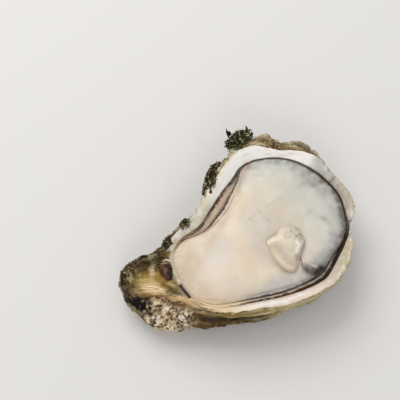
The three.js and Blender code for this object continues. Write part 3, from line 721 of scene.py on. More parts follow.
near_older = only(on_rim, np.exp(-np.maximum(0, (w - ragged_shelf) * rim_width) / 0.6))
whole = white * is_rim
sandy_lines = fine_lines + 1.2 * lumps(plain, 1.5, 89) - 0.2
yellowed = whole * along_rim(u, 10, 13.4) * np.exp(-np.maximum(0, across_mm - 1.4) / 2)
outer_peach = whole * along_rim(u, 22.9, 24.5, 0.4) * (1 - smooth(0.45, 0.7, only(on_rim, w)))
near_cup = only(on_rim, bell((1 - w) * rim_width, 0, 1.3))
spots, spot_number = bubbles(walk(u, 0), 3.4, 80)
mossy = off_edge * is_rim * along_rim(u, 12.6, 16.4) * (1 - smooth(0.2, 0.5, spots)) * (spot_number > 0.35)
dark_crust = spot(x, y, 5.2, 31.4, 3.8, 1.7, 0.2) + 0.8 * spot(x, y, 0.4, 29.4, 2.4, 1.2, 0.9)
coats(tint, plain, [
    (white, WHITE),
    (whole * (0.3 * lumps(plain, 3.4, 73) + 0.3 * grain_lines), WHITE_SHADE),
    (whole * along_rim(u, 5.6, 8.6) * (0.6 - across_mm / 16 + 0.4 * grain_lines), WHITE_PINK),
    (whole * along_rim(u, -1.4, 4.3), 1.05, 0.35, grain_lines, WHITE_GREY),
    (whole * along_rim(u, 27.6, 30.8), 1, 0.3, grain_lines, WHITE_SAND),
    (whole * along_rim(u, 27.6, 30.8) * sandy_lines, (176, 164, 126)),
    (whole * along_rim(u, 26, 28.2), 0.75, 0.6, grain_lines, WHITE_PINK),
    (whole * along_rim(u, 12.8, 16.2), 0.5, 0.9, (2.5, 74), WHITE_SHADE),
    (whole * along_rim(u, 13.2, 16), 0.2, 0.9, (3, 79), WHITE_SAND),
    (whole * near_older * (1 - along_rim(u, 5, 9)), 0.75, 0.5, (2.2, 75), WHITE_YELLOW),
    (yellowed, 0.7, 0.6, (2.6, 49), (222, 212, 176)),
    (whole * along_rim(u, 23, 25.6), 0.95, 0.3, grain_lines, RIM_PEACH),
    (outer_peach, 0.9, 0.6, grain_lines, (150, 124, 82)),
    (outer_peach, -0.5, 2, fine_lines, (80, 60, 34)),
    (near_cup * along_rim(u, 25.4, 31.4) * 0.85, (198, 182, 162)),
    (near_cup * along_rim(u, 13, 17.4) * 0.5, WHITE_YELLOW),
    # painted shade: grey on the rim's inner side near the ventral end
    (whole * spot(x, y, 50.2, 15.2, 3.6, 2.2, -0.9), RIM_SHADE),
    (whole * along_rim(u, 3.9, 5.1, 0.3) * 0.75, (196, 194, 188)),
    # painted shade: dark grey along the sharp edge near the ventral end
    (whole * stroke(x, y, [(51.8, 14.6), (52.6, 12.4), (52.4, 10)], 0.9) * 0.8, (122, 120, 112)),
    (off_edge * along_rim(u, 0.6, 3.9), 1, 0.6, (2, 76), (238, 233, 220)),
    (1.6 * mossy, MOSS),
    (1.5 * dark_crust, 0.8, 0.8, (1.4, 93), (58, 36, 18)),
    (is_rim * along_rim(u, -0.6, 0.8) * 0.7, (204, 198, 190)),
    # painted shade: dark down in the cracks
    (crack * 0.9, CRUST_DARK),
])

# The hinge, from its olive ground up to the scored cream field.
crumbs = mottle(plain, (0.6, 2.3, 81), (0.6, 1.2, 83))
pale_crust = beak * spot(x, y, -49.6, -10.6, 3, 2.2, 0.9) * smooth(-0.2, 0.5, lumps(plain, 1.3, 48))
brown_strip = stroke(x, y, [(-46, -1), (-40.4, -2.8), (-37, -2.4), (-33.6, -1.6)], 2.3) * is_rim
cream_field = spot(x, y, -43.6, -13.4, 5.8, 3, -0.6) + 0.85 * spot(x, y, -41.8, -6.4, 2.8, 1.2, 1.2)
GREEN_STRIP = [(-36.6, -14.2), (-34.9, -17), (-33, -20.4), (-31.2, -23.4)]
green_strip = is_rim * stroke(x, y, GREEN_STRIP, 0.9) * (0.35 + 0.65 * smooth(-22, -18, y))
cup_side = [(-32, -14.6), (-31, -18.4), (-29.9, -21.6), (-28.9, -24.4)]
under_ridge = stroke(x, y, np.array(RIDGE) + [-0.3, -1.5], 0.6) * is_rim
cup_lip = [(-34.4, -22.9), (-31.6, -24.6), (-28.6, -26.2), (-25.6, -27.8)]
coats(tint, plain, [
    (beak * (1 - smooth(-33.5, -31.5, x)), FIELD_OLIVE),
    (tip_crust, 0.6, 0.8, (2.6, 84), TIP_GREEN),
    (tip_crust * 0.95 * smooth(-0.15, 0.25, crumbs), (40, 31, 14)),
    (tip_crust * 0.9 * smooth(0.1, 0.4, 0.5 * knob + lumps(plain, 1.5, 82) - 0.25), TIP_LIGHT),
    (pale_crust, (196, 190, 142)),
    (1.6 * field, 0.9, 0.5, field_lines, FIELD_GOLD),
    (brown_strip, 1.2, 0.5, (2, 85), FIELD_OLIVE),
    (beak * spot(x, y, -41.8, -4.6, 3.4, 1.5, 0.5), 0.5, 1.2, (1.5, 58), (146, 108, 44)),
    (beak * spot(x, y, -45.6, -7.4, 4.6, 1.8, -0.35) * 0.75, FIELD_LEMON),
    (1.3 * cream_field * beak, 0.9, 0.4, field_lines, FIELD_CREAM),
    (field * 0.9 * smooth(0.1, 0.6, fine_scores), FIELD_GOLD),
    (field * 0.7 * smooth(0.25, 0.7, -fine_scores), (244, 226, 184)),
    (beak * spot(x, y, -37.8, -15.4, 4, 1.8, -1.1), 0.9, 0.8, (1.6, 59), FIELD_OCHRE),
    (beak * spot(x, y, -36.8, -15.8, 3, 0.9, -1.1), (92, 70, 18)),
    (beak * spot(x, y, -40, -11.6, 3, 1.1, -0.8), 0.5, 1, field_lines, FIELD_OCHRE),
    (beak * stroke(x, y, [(-36.8, -18), (-34, -21.2), (-31.4, -24.6)], 1.4), (78, 68, 24)),
    (is_rim * 0.85 * spot(x, y, -33, -0.8, 2.2, 1.4, -0.6), (122, 96, 36)),
    (green_strip, 1.1, 0.9, field_lines, SLIT_GREEN),
    (is_rim * stroke(x, y, cup_side, 0.7), FRONT_CREAM),
    (ridge * (1 - smooth(-42, -47, x)), 0.8, 0.6, field_lines, RIDGE_PEACH),
    # painted shade: brown on the rim just below the hinge ridge
    (under_ridge, 0.8, 0.6, field_lines, UNDER_RIDGE_SHADE),
    (stroke(x, y, [(-32.2, -5.4), (-32.6, -9.3), (-32.9, -13.6)], 0.9) * is_rim, CUP_SIDE),
    (stroke(x, y, [(-29.4, -0.6), (-31.2, -3.8), (-31.9, -8), (-31.9, -12)], 0.7) * is_rim, FRONT_CREAM),
    (stroke(x, y, [(-35.6, -3.6), (-33.8, -3.6), (-32, -5)], 0.35) * is_rim, FIELD_CREAM),
    (stroke(x, y, cup_lip, 1) * is_rim, 0.9, 0.4, field_lines, (228, 194, 150)),
    # painted shade: near black down in the slit
    (slit * 1.3, SLIT_BLACK),
])

quiet = 0.5 * (black_patch + flank) + 0.6 * pale_side
shell = skin(
    "shell_valve",
    spread,
    tint=tint,
    white=white * (1 - beak),
    crusty=np.clip(((1 - white) + tip_crust) * (1 - 0.35 * beak - 0.7 * grooved) - quiet, 0, 1),
    layers=walk(u, across_mm + level_mm),
    pitted=flank,
)

start, finish = new_material("crusted shell")
tinted = start.mark("tint", "Color")
whiteness = start.mark("white")
layers = start.mark("layers", "Vector")
lines = start.grain(1 / 1.4, 3.0, layers.scaled(0.12, 0.12, 1.6))
speckle = start.grain(0.9, 4.0)
blotch = start.grain(3.0, 3.0)
crusty = start.mark("crusty")
lined = crusty * (1 - start.mark("pitted"))
mottled = tinted.laid((48, 34, 18), lined * lines.between(0.54, 0.68) * 0.6)
mottled = mottled.laid((204, 188, 150), lined * (1 - lines).between(0.54, 0.68) * 0.4)
mottled = mottled.laid((42, 30, 16), crusty * speckle.between(0.53, 0.66) * 0.6)
mottled = mottled.laid((214, 202, 174), crusty * start.grain(0.7, 3.0).between(0.58, 0.7) * 0.45)
mottled = mottled.laid((200, 184, 160), whiteness * lines.between(0.52, 0.72) * 0.25)
mottled = mottled.laid((254, 253, 250), whiteness * blotch.between(0.48, 0.68) * 0.35)
height = speckle * crusty * 0.6 + start.grain(0.4, 3.0) * crusty * 0.4 + lines * 0.35
shell_finish = finish(
    Base_Color=mottled,
    Roughness=0.8 - whiteness * 0.3 + speckle * 0.12,
    Specular_IOR_Level=0.2,
    Normal=start.bumped(height, 0.35),
)
shell.data.materials.append(shell_finish)
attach(shell, "root")
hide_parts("shell")

# ---------------------------------------------------------------------------------------------------------
# The hinge ligament: a pad of horny brown fibres in the trough of the beak, torn across when the shell
# was opened. Its fibres stand on end, paler where they broke, under a painted highlight on its left side
# and top, with painted shade at its lower right.

LIGAMENT = {"x": -35.2, "y": -8.4, "top": 20.4, "height": 5, "blur": 9}
LIGAMENT_OUTLINE = [
    (-37.2, -4.2), (-34.4, -4), (-32.5, -5.5), (-32.6, -8.4), (-33.5, -11.8), (-35.2, -13.5), (-37, -12.4),
    (-38.3, -9.4), (-38.4, -6),
]
LIGAMENT_BROWN, LIGAMENT_PLUM_AND_SHADE, LIGAMENT_PALE = (78, 46, 28), (40, 26, 24), (132, 94, 70)
LIGAMENT_PALE_AND_LIT_EDGE = (206, 188, 160)


def outline_reach(angle, outline, middle, blur):
    """How far an outline lies from its middle in a direction, its corners rounded over some degrees."""
    dx, dy = np.array(outline).T - np.array(middle)[:, None]
    direction = np.arctan2(dy, dx)
    drawn = np.argsort(direction)
    degrees = np.radians(np.arange(-180, 180))
    path = np.stack([np.interp(degrees, direction[drawn], v[drawn], period=TURN) for v in (dx, dy)])
    turn_of = np.arctan2(path[1], path[0])
    reach = np.interp(degrees, np.sort(turn_of), np.hypot(*path)[np.argsort(turn_of)], period=TURN)
    kernel = np.hanning(blur + 2) / np.hanning(blur + 2).sum()
    ends = np.concatenate([reach[-2 * blur :], reach, reach[: 2 * blur]])
    rounded = np.convolve(ends, kernel, "same")[2 * blur : -2 * blur]
    return np.interp(angle, degrees, rounded, period=TURN)


def rounded_plug(segments, rings, outline, middle, blur, fullness):
    """The direction, the height from -1 to 1 and the reach at each place of a plug with a drawn outline."""
    angle = TURN * np.arange(segments) / segments
    tilt = (np.linspace(0, 1, rings + 1)[:, None] - 0.5) * math.pi
    reach = np.clip(np.cos(tilt), 0, 1) ** fullness * outline_reach(angle, outline, middle, blur)
    return angle, np.sin(tilt), reach


def turned(points, angle, x, y, z):
    """Points turned about the vertical and then moved."""
    c, s = math.cos(angle), math.sin(angle)
    from_x, from_y = points[..., 0], points[..., 1]
    return xyz(from_x * c - from_y * s + x, from_x * s + from_y * c + y, points[..., 2] + z)


middle = LIGAMENT["x"], LIGAMENT["y"]
a, rise, radius = rounded_plug(160, 72, LIGAMENT_OUTLINE, middle, LIGAMENT["blur"], 0.4)
radius = radius * (1 + 0.05 * np.sin(17 * a) + 0.04 * np.sin(29 * a + 1))
pad = xyz(radius * np.cos(a), radius * np.sin(a), LIGAMENT["height"] / 2 * (rise - 1))
fibres = lumps(pad * [1.5, 0.4, 0.2] + 0.4 * lumps(pad, 2, 90)[..., None], 0.8, 91)
pad[..., 2] += np.where(rise > 0, 0.6 * fibres + 0.5 * lumps(pad, 1.4, 92), 0) * smooth(0, 0.3, rise)
pad = turned(pad, 0, LIGAMENT["x"], LIGAMENT["y"], LIGAMENT["top"])
x, y = pad[..., 0], pad[..., 1]
tint = base_coat(pad, LIGAMENT_BROWN)
coats(tint, pad, [
    # painted shade: plum-dark at the lower right, with dark patches all over
    (1.5 * spot(x, y, -34, -9.8, 1.6, 4, 0.2) + 0.6 * lumps(pad, 1.2, 93), LIGAMENT_PLUM_AND_SHADE),
    # pale broken fibres on the left side, with a painted highlight there
    (1 - smooth(-37.2, -35.4, x), 0.3, 1.6, fibres, LIGAMENT_PALE),
    # pale torn top edge, with a painted highlight there
    (spot(x, y, -35, -4.4, 3, 0.8, -0.2), 0.9, 1, (0.9, 94), LIGAMENT_PALE_AND_LIT_EDGE),
    (1, -0.8, 1.8, fibres, LIGAMENT_PALE),
])
ligament = skin("hinge_ligament_pad", pad, tint=tint)

start, finish = new_material("torn ligament")
strands = start.grain(1, 3.0, start.place().scaled(1600, 400, 400))
horn = start.mark("tint", "Color").laid((34, 22, 20), strands.between(0.5, 0.7) * 0.6)
ligament_finish = finish(
    Base_Color=horn.laid((176, 138, 112), start.grain(0.8, 2.0).between(0.62, 0.74) * 0.2),
    Roughness=0.45 + strands * 0.3,
    Specular_IOR_Level=0.35,
    Normal=start.bumped(strands, 0.35),
)
ligament.data.materials.append(ligament_finish)
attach(ligament, "root")
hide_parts("hinge_ligament")

# ---------------------------------------------------------------------------------------------------------
# The lower mantle lobe: a thin flap of skin that lines the cup under the body. Its margin curls up round
# the cup in a dark crimped fringe, and at the upper left a strip of its pale inside shows.

GAP = 0.3
MANTLE = {"roll": 0.8, "thickness": 1.3, "underlap": 2.6, "crimps": 40, "crimp": 0.25, "pleats": 90}
# At each station: how dark the fringe is, how wide its dark edge is, and how high it stands.
FRINGE = [
    (0.85, 1.1, 1.0), (0.85, 1.0, 1.0), (0.85, 0.9, 0.9), (0.9, 0.9, 0.7), (0.9, 0.9, 0.5),
    (0.8, 0.6, 0.35), (0.75, 0.5, 0.25), (0.7, 0.5, 0.25), (0.7, 0.5, 0.25), (0.75, 0.5, 0.3),
    (0.9, 0.7, 0.4), (0.9, 1.2, 0.6), (0.9, 1.1, 0.7), (0.95, 1.1, 0.7), (0.85, 1.2, 0.7),
    (0.8, 1.1, 0.6), (0.45, 0.6, 0.3), (0.05, 0.5, 0.1), (0.0, 0.5, 0.1), (0.0, 0.5, 0.1),
    (0.0, 0.5, 0.1), (0.0, 0.5, 0.1), (0.0, 0.5, 0.1), (0.0, 0.5, 0.15), (0.0, 0.5, 0.15),
    (0.15, 0.5, 0.2), (0.95, 0.8, 0.5), (1.0, 0.95, 0.6), (1.0, 1.75, 0.8), (1.0, 1.6, 1.0),
    (0.95, 1.8, 1.0),
]
FRINGE_DARK, FRINGE_BROWN, FRINGE_BEIGE = (28, 16, 5), (92, 58, 26), (192, 174, 156)
FRINGE_GREY, FRINGE_CREAM, FRINGE_PEACH = (134, 120, 106), (222, 206, 184), (226, 200, 166)
FRINGE_SMOKE = (112, 103, 94)
STRIP_PINK, STRIP_GREY, STRIP_SAND = (204, 180, 158), (186, 168, 152), (212, 194, 168)
STRIP_ROSE = (212, 188, 162)
fringe_dark_at, fringe_width_at, fringe_height_at = (
    closed_number([row[column] for row in FRINGE]) for column in range(3)
)


def inside_cup(u, inset, height=0.0):
    """The point a distance inside the cup's edge, at a height over it."""
    place = cup_edge_at(u) - np.asarray(inset)[..., None] * outward(cup_edge_at, u)
    place[..., 2] += height
    return place


segments, rings = 960, 40
u = np.arange(segments) / segments
lap = lap_at(u)
stand = fringe_height_at(u)
outer_gap = 0.06 + 0.25 * np.clip(stand - 0.15, 0, 1)
crimps = MANTLE["crimp"] * (np.sin(TURN * MANTLE["crimps"] * u) + 0.6 * wave(u, 5)) * stand
frill = mottle(walk(u, 0), (0.5, 1.3, 101), (0.3, 0.7, 102)) * stand
hinge_end = along_rim(u, 16, 25.9, 0.8)
body_edge, inner_end = lap - GAP + 0.2 * hinge_end, lap + MANTLE["underlap"]
top = MANTLE["roll"] * stand
corners = [
    (outer_gap, -0.2 + 0.2 * hinge_end),
    (outer_gap + 0.2 + 0.15 * crimps - 0.25 * frill, top * 0.8 + crimps + 0.3 * frill),
    (np.minimum(outer_gap + 0.9, body_edge - 0.12), top * 0.75 + crimps + 0.45 * frill),
    (np.minimum(outer_gap + 1.5, body_edge), -0.3 + 0.2 * frill + 0.25 * hinge_end),
    (inner_end, -1.1),
    (inner_end, -1.1 - MANTLE["thickness"]),
    (outer_gap + 0.7, -1.6),
]
loop = np.array([xyz(*corner, u) for corner in corners])
section = eased(loop, np.arange(rings + 1) / rings * len(loop), 0.4)
inset, height = section[..., 0], section[..., 1]
pleat = 0.1 * np.sin(TURN * MANTLE["pleats"] * u + 3 * wave(u, 6)) + 0.12 * lumps(walk(u, inset), 1.5, 103)
height = height + smooth(0.8, 2.5, inset) * pleat
lobe = inside_cup(np.broadcast_to(u, inset.shape), inset, height)
x, y = lobe[..., 0], lobe[..., 1]

right_end, upper_left = along_rim(u, -2, 4.5), along_rim(u, 11.3, 15.6)
strip = walk(u, inset)
tint = base_coat(lobe, FRINGE_BEIGE)
coats(tint, strip, [
    (along_rim(u, 4.5, 11), FRINGE_GREY),
    (right_end, 0.9, 0.5, (1.2, 107), FRINGE_SMOKE),
    (hinge_end, FRINGE_CREAM),
    (along_rim(u, 22.6, 25.9), FRINGE_PEACH),
    (upper_left, STRIP_PINK),
    (upper_left, 0, 1.2, (3.5, 104), STRIP_SAND),
    (upper_left, 0, 0.9, lumps(walk(u, inset / 2), 2.5, 108), STRIP_GREY),
])
fringe_paint = base_coat(lobe, FRINGE_DARK)
greyed = np.clip(0.8 * along_rim(u, 13.6, 14.8, 0.4) * (0.2 + lumps(strip, 2, 110)), 0, 1)
coats(fringe_paint, strip, [
    (along_rim(u, 14.2, 17.2), FRINGE_BROWN),
    (0.6 * along_rim(u, 25, 27.6), FRINGE_BROWN),
    (0.7 * along_rim(u, 0, 10.6), (76, 69, 60)),
    (greyed, FRINGE_GREY),
])
ragged_inset = inset - outer_gap + mottle(strip, (0.35, 1.2, 105), (0.25, 0.6, 109))
edge_dark = fringe_dark_at(u) * (1 - smooth(0.75, 1.15, ragged_inset / fringe_width_at(u)))
fleck = spot(x, y, -0.6, 16.4, 0.7, 0.7)
flecked = (1 - right_end) * (1 - 0.85 * along_rim(u, 26.6, 30))
seam_shade = along_rim(u, 26, 35.4) + 0.4 * along_rim(u, 4.4, 11.6) + 0.8 * along_rim(u, 11.4, 15.2)
seam_shade = np.clip(seam_shade, 0, 1)
coats(tint, strip, [
    (edge_dark * (1 - 0.95 * fleck), fringe_paint),
    (edge_dark * flecked, -0.6, 1.8, (0.9, 106), FRINGE_BEIGE),
    (edge_dark * upper_left, -0.3, 1.6, (1.4, 114), FRINGE_BROWN),
    # painted shade: dark on the lobe in the gap under the body's edge
    (seam_shade * smooth(-0.45, -0.05, inset - lap), FRINGE_DARK),
])
mantle = skin("lower_mantle_lobe", lobe, tint=tint)

start, finish = new_material("mantle fringe")
membrane = start.mark("tint", "Color")
dots = start.grain(0.6, 3.0)
mantle_finish = finish(
    Base_Color=membrane.laid((60, 46, 36), dots.between(0.56, 0.72) * 0.25),
    Roughness=0.42 + dots * 0.2,
    Coat_Weight=0.04,
    Coat_Roughness=0.25,
    Specular_IOR_Level=0.2,
    Subsurface_Weight=0.15,
    Subsurface_Radius=(1.0, 0.5, 0.35),
    Subsurface_Scale=0.0012,
    Normal=start.bumped(dots, 0.12),
)
mantle.data.materials.append(mantle_finish)
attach(mantle, "root")
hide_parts("lower_mantle")

# ---------------------------------------------------------------------------------------------------------
# The body: the plump cream animal under its upper mantle lobe, wet, soft and a little see-through. The
# lobe thins to a grey skirt over the gills, ends in a dark line, and folds over itself by the gills.

BODY = {"x": 10, "y": -9, "crest": 24.2, "edge": 0.3, "ruffles": 44}
# The body's swells and dips: the middle, the half sizes, the turn and the height of each.
BODY_RELIEF = [
    (-8, -14, 24, 19, 0.35, 3.6),
    (14, 6, 20, 13, 0.6, 1.6),
    (19, -19, 15, 14, 1.2, -1.2),
    (40, -6, 12, 18, -0.2, -1.0),
    (3, -35, 22, 4, 0.05, -0.7),
    (29, -32, 6, 4, 0.4, -1.6),
    (25.5, -27.6, 5, 1.6, -0.3, 1.2),
]
# At each station: the dark line on the edge, its strength and width, and the grey haze inside it, likewise.
SKIRT = [
    (0.4, 0.6, 0.95, 5.2), (0.2, 0.5, 1, 5.6), (0.3, 0.6, 1.1, 6.4), (0.5, 0.7, 1.1, 7),
    (0.6, 0.8, 1, 7.5), (0.65, 0.8, 1, 7.2), (0.45, 0.6, 1, 6), (0.4, 0.55, 1.1, 4.2),
    (0.4, 0.55, 1.1, 3.6), (0.35, 0.5, 1.05, 3.8), (0.4, 0.5, 0.9, 3.5), (0.9, 0.6, 0.45, 2.5),
    (1.0, 0.8, 0.12, 2), (1.0, 0.85, 0.08, 2), (0.95, 0.7, 0.05, 2), (0.4, 0.35, 0.03, 2),
    (0.15, 0.35, 0, 2), (0.05, 0.35, 0, 2), (0.0, 0.35, 0, 2), (0.0, 0.35, 0, 2), (0.0, 0.35, 0, 2),
    (0.0, 0.35, 0, 2), (0.0, 0.35, 0, 2), (0.0, 0.35, 0, 2), (0.0, 0.35, 0.03, 2),
    (0.15, 0.35, 0.1, 2.5), (0.9, 0.55, 0.5, 3.2), (0.65, 0.5, 0.8, 3.8), (0.85, 0.65, 0.85, 4.2),
    (0.6, 0.9, 0.85, 4.4), (0.55, 1.0, 0.9, 5.2),
]
line_at, line_width_at, haze_at, haze_width_at = (
    closed_number([row[column] for row in SKIRT]) for column in range(4)
)
MUSCLE = {"x": 19.4, "y": -19.6, "base": 24.3, "root": 5.5, "rise": 2.1, "blur": 5}
MUSCLE_OUTLINE = [
    (28.7, -16.2), (28.5, -13.1), (27.1, -10.5), (23.9, -8.8), (21.4, -8.3), (19, -8.9), (17.3, -10.5),
    (14.3, -11.1), (12, -12), (10.4, -13.5), (11, -15.6), (11.2, -18.6), (11.8, -22.2), (12.8, -25.4),
    (14.4, -27.9), (16.4, -29.5), (18.6, -29.9), (20.5, -28.9), (21.9, -27), (23.7, -24.6),
    (25.2, -22.3), (27.2, -20.4), (28.4, -18.4),
]
CREAM, CREAM_WARM, PEACH = (224, 213, 198), (240, 224, 200), (220, 198, 171)
GREY_GREEN, GREY_BLUE = (214, 214, 202), (186, 189, 187)
GREY_SHADE, LINE_BROWN, CREASE = (126, 119, 108), (128, 98, 74), (192, 178, 160)
WHITISH, SMOKE, TEAL = (240, 232, 222), (156, 154, 142), (166, 172, 172)


def off_muscle(x, y):
    """How far outside the muscle's outline a place is, roughly, below nothing inside it."""
    dx, dy = x - MUSCLE["x"], y - MUSCLE["y"]
    middle = MUSCLE["x"], MUSCLE["y"]
    return np.hypot(dx, dy) - outline_reach(np.arctan2(dy, dx), MUSCLE_OUTLINE, middle, MUSCLE["blur"])


segments, top_rings = 600, 132
u = np.arange(segments) / segments
lap = lap_at(u)
past_mantle = MANTLE["underlap"] + GAP
floor_middle = np.array([FLOOR["x"], FLOOR["y"], FLOOR["thickness"] + GAP])


def on_wall_at(c):
    return cup_at(u, c, (MANTLE["underlap"] + lap) * (1 - c) + 1.4 * GAP)


rings = [np.broadcast_to(floor_middle, (segments, 3)), mixed(on_wall_at(1), floor_middle, 0.4)]
rings += [on_wall_at(c) for c in (1, 0.93, 0.75, 0.5)]
# The body's edge from the inside up: how far in each ring lies, and its height over the cup's edge.
UNDER = [
    (past_mantle + 0.3, -3.2), (past_mantle, -0.7), (2.2, -0.5), (1.3, -0.3),
    (0.7, -0.2), (0.25, -0.08), (0.05, 0.0), (-0.03, 0.13),
]
rings += [inside_cup(u, lap + inset, height) for inset, height in UNDER]
underside = len(rings)
even = np.linspace(0, 1, top_rings + 1)
s = (0.35 * even + 0.65 * even**1.6)[:, None]
edge = inside_cup(u, lap, BODY["edge"])
top = mixed(edge, np.array([BODY["x"], BODY["y"], 0]), s[..., None])
shoulder = 1 - (1 - np.minimum(1, s * 2.2)) ** 2.4
top[..., 2] = mixed(edge[:, 2], BODY["crest"], shoulder)
x, y = top[..., 0], top[..., 1]
for *oval, height in BODY_RELIEF:
    top[..., 2] += height * shoulder * spot(x, y, *oval)

inside = np.linalg.norm((top - edge)[..., :2], axis=-1)
from_muscle = off_muscle(x, y)
CREASES = [
    [(7.8, -0.5), (12.3, 0.9), (14.4, 1.8)],
    [(17.2, 2.4), (19.7, 3.5), (22, 4.2), (26.5, 4.3)],
    [(12.6, 3.9), (14, 1.4), (14.4, -1.4), (16.6, -4.7)],
    [(8.2, -0.4), (9.5, -2.7)],
]
crease = sum(stroke(x, y, path, 0.6) for path in CREASES)
soft = 0.22 * lumps(top, 9, 111) + 0.1 * lumps(top, 4, 112)
ruffle = 0.2 * np.sin(TURN * BODY["ruffles"] * u + 2 * wave(u, 7)) + 0.2 * lumps(walk(u, inside), 1.6, 113)
ruffle = np.exp(-inside / 1.6) * ruffle
# At each station: how far inside the edge the skirt's second, thin line runs.
inner_line_at = closed_number([2.2] * 12 + [2.3, 2.2, 1.8, 1.4] + [1.6] * 11 + [1.5, 1.5, 1.8, 2.0])
inner_line = np.clip(0.8 * along_rim(u, 11.6, 15.2) + along_rim(u, 25.8, 28.9), 0, 1)
inner_line = inner_line * bell(inside, inner_line_at(u), 0.42)
low_side = np.clip(spot(x, y, 14, -36, 30, 4.5, 0.05) + spot(x, y, 41, -27, 12, 4, 0.9), 0, 1)
top[..., 2] += shoulder * soft + ruffle * smooth(0, 0.4, inside)
top[..., 2] -= 0.02 * crease + 0.1 * inner_line
shallow = 0.7 * spot(x, y, 29, -19, 5, 12) + 0.6 * spot(x, y, 20.5, -31, 6, 3, 0.2)
top[..., 2] -= 0.14 * bell(from_muscle, 0.6, 1.1) * (1 - np.clip(shallow, 0, 0.8))
socket_depth = MUSCLE["root"] + 0.8
in_socket = 1 - smooth(-1.0, -0.35, from_muscle)
top[..., 2] = mixed(top[..., 2], np.minimum(top[..., 2], MUSCLE["base"] - socket_depth), in_socket)
POCKET_LIP = [(25.2, -22.8), (24.4, -25), (24.7, -27), (26.6, -29), (29.2, -30.9)]
POCKET = [(25.2, -31), (27.2, -32.8), (29.4, -33.6), (31.8, -32.8)]
pocket = stroke(x, y, POCKET, 2)
pocket_lip = stroke(x, y, POCKET_LIP, 0.5)
top[..., 2] += 0.6 * pocket_lip - 0.35 * pocket

grid = np.concatenate([np.stack(rings), top])
x, y = grid[..., 0], grid[..., 1]
under_it = np.zeros((underside, segments))
above = inside, low_side, crease, inner_line, pocket, pocket_lip
above = (np.concatenate([under_it, values]) for values in above)
inside, low_side, crease, inner_line, pocket, pocket_lip = above
from_muscle = off_muscle(x, y)
tint = base_coat(grid, CREAM)
SHADED = [(17.2, 25.2), (13.8, 23.4), (10.6, 20), (7.6, 15.6)]
haze = haze_at(u) * np.exp(-((inside / haze_width_at(u)) ** 1.5)) * (1 + 0.45 * lumps(grid, 3, 122))
near_haze = haze_at(u) * np.exp(-((inside / (0.45 * haze_width_at(u))) ** 1.5))
coats(tint, grid, [
    (0.9 * spot(x, y, -6, -24, 22, 10, -0.1) + 0.7 * lumps(grid, 9, 120), CREAM_WARM),
    (spot(x, y, -27, -10, 8.5, 18, 0.25) + 0.35 * lumps(grid, 8, 121), PEACH),
    (0.7 * spot(x, y, 7.4, 10, 9, 4, 1.1), (220, 202, 170)),
    (0.6 * spot(x, y, -16, -17, 9, 6, 0.6), WHITISH),
    (0.9 * spot(x, y, 40, -8, 12, 24, 0.05) + 0.5 * spot(x, y, 32, 12, 20, 10, -0.5), GREY_GREEN),
    (1.15 * haze, GREY_BLUE),
    (near_haze, 0.75, 0.8, (2.2, 123), GREY_SHADE),
])
# The smoky blotches by the fringe: the middle, the half sizes, the turn and the strength of each.
BLOTCHES = [
    (42.4, 6.4, 2.8, 1.6, -0.9, 0.8), (40.4, 11.2, 2.2, 1.4, -0.7, 0.65), (39, 8, 3.2, 1.6, 0.2, 0.55),
    (44.6, 1.8, 3.2, 1.6, -1.2, 0.4), (41.2, -11.4, 4.6, 1.6, -1.2, 0.5),
    (36.4, -5, 4.5, 1.4, -1, 0.22), (18.6, 23.4, 3.6, 1.2, -0.1, 0.6), (24.6, 24.2, 3.4, 1, -0.2, 0.5),
    (19.6, 19.2, 3, 0.9, -0.3, 0.35), (30.6, 21.6, 4, 1.2, -0.4, 0.4), (36, 17.6, 3, 1.2, -0.7, 0.4),
]
coats(tint, grid, [(depth * spot(x, y, *oval), 1, 0.5, (1.8, 124), SMOKE) for *oval, depth in BLOTCHES])
smoky = along_rim(u, -1.9, 3.2, 0.8) * np.exp(-((inside / 2.5) ** 3)) * (inside > 0)
CRESCENT = [(29, -28.9), (31.6, -28), (35, -26.4), (38.6, -23.6), (42, -19)]
BESIDE_STRIP = [(5.2, 13.2), (0.8, 7.8), (-3.6, 3), (-8, -1), (-14, -5)]
left_strip = along_rim(u, 11.2, 15.4) * (1 - smooth(1.6, 3.2, inside)) * (inside > 0)
inner_paint = base_coat(grid, GREY_SHADE)
over(inner_paint, along_rim(u, 11, 16), LINE_BROWN)
# painted shade: near black deep in the gill pocket under its lip
deep = stroke(x, y, [(28, -33.9), (29.5, -33.4), (31.3, -32.6)], 1.35) * (1.5 + 0.8 * lumps(grid, 1.2, 138))
BOTTOM_LINE = [(-27.4, -24.6), (-24.8, -27.4), (-19.8, -30), (-15.6, -31.6)]
peach_side = along_rim(u, 22.4, 25.6) * np.exp(-inside / 3) * (inside > 0)
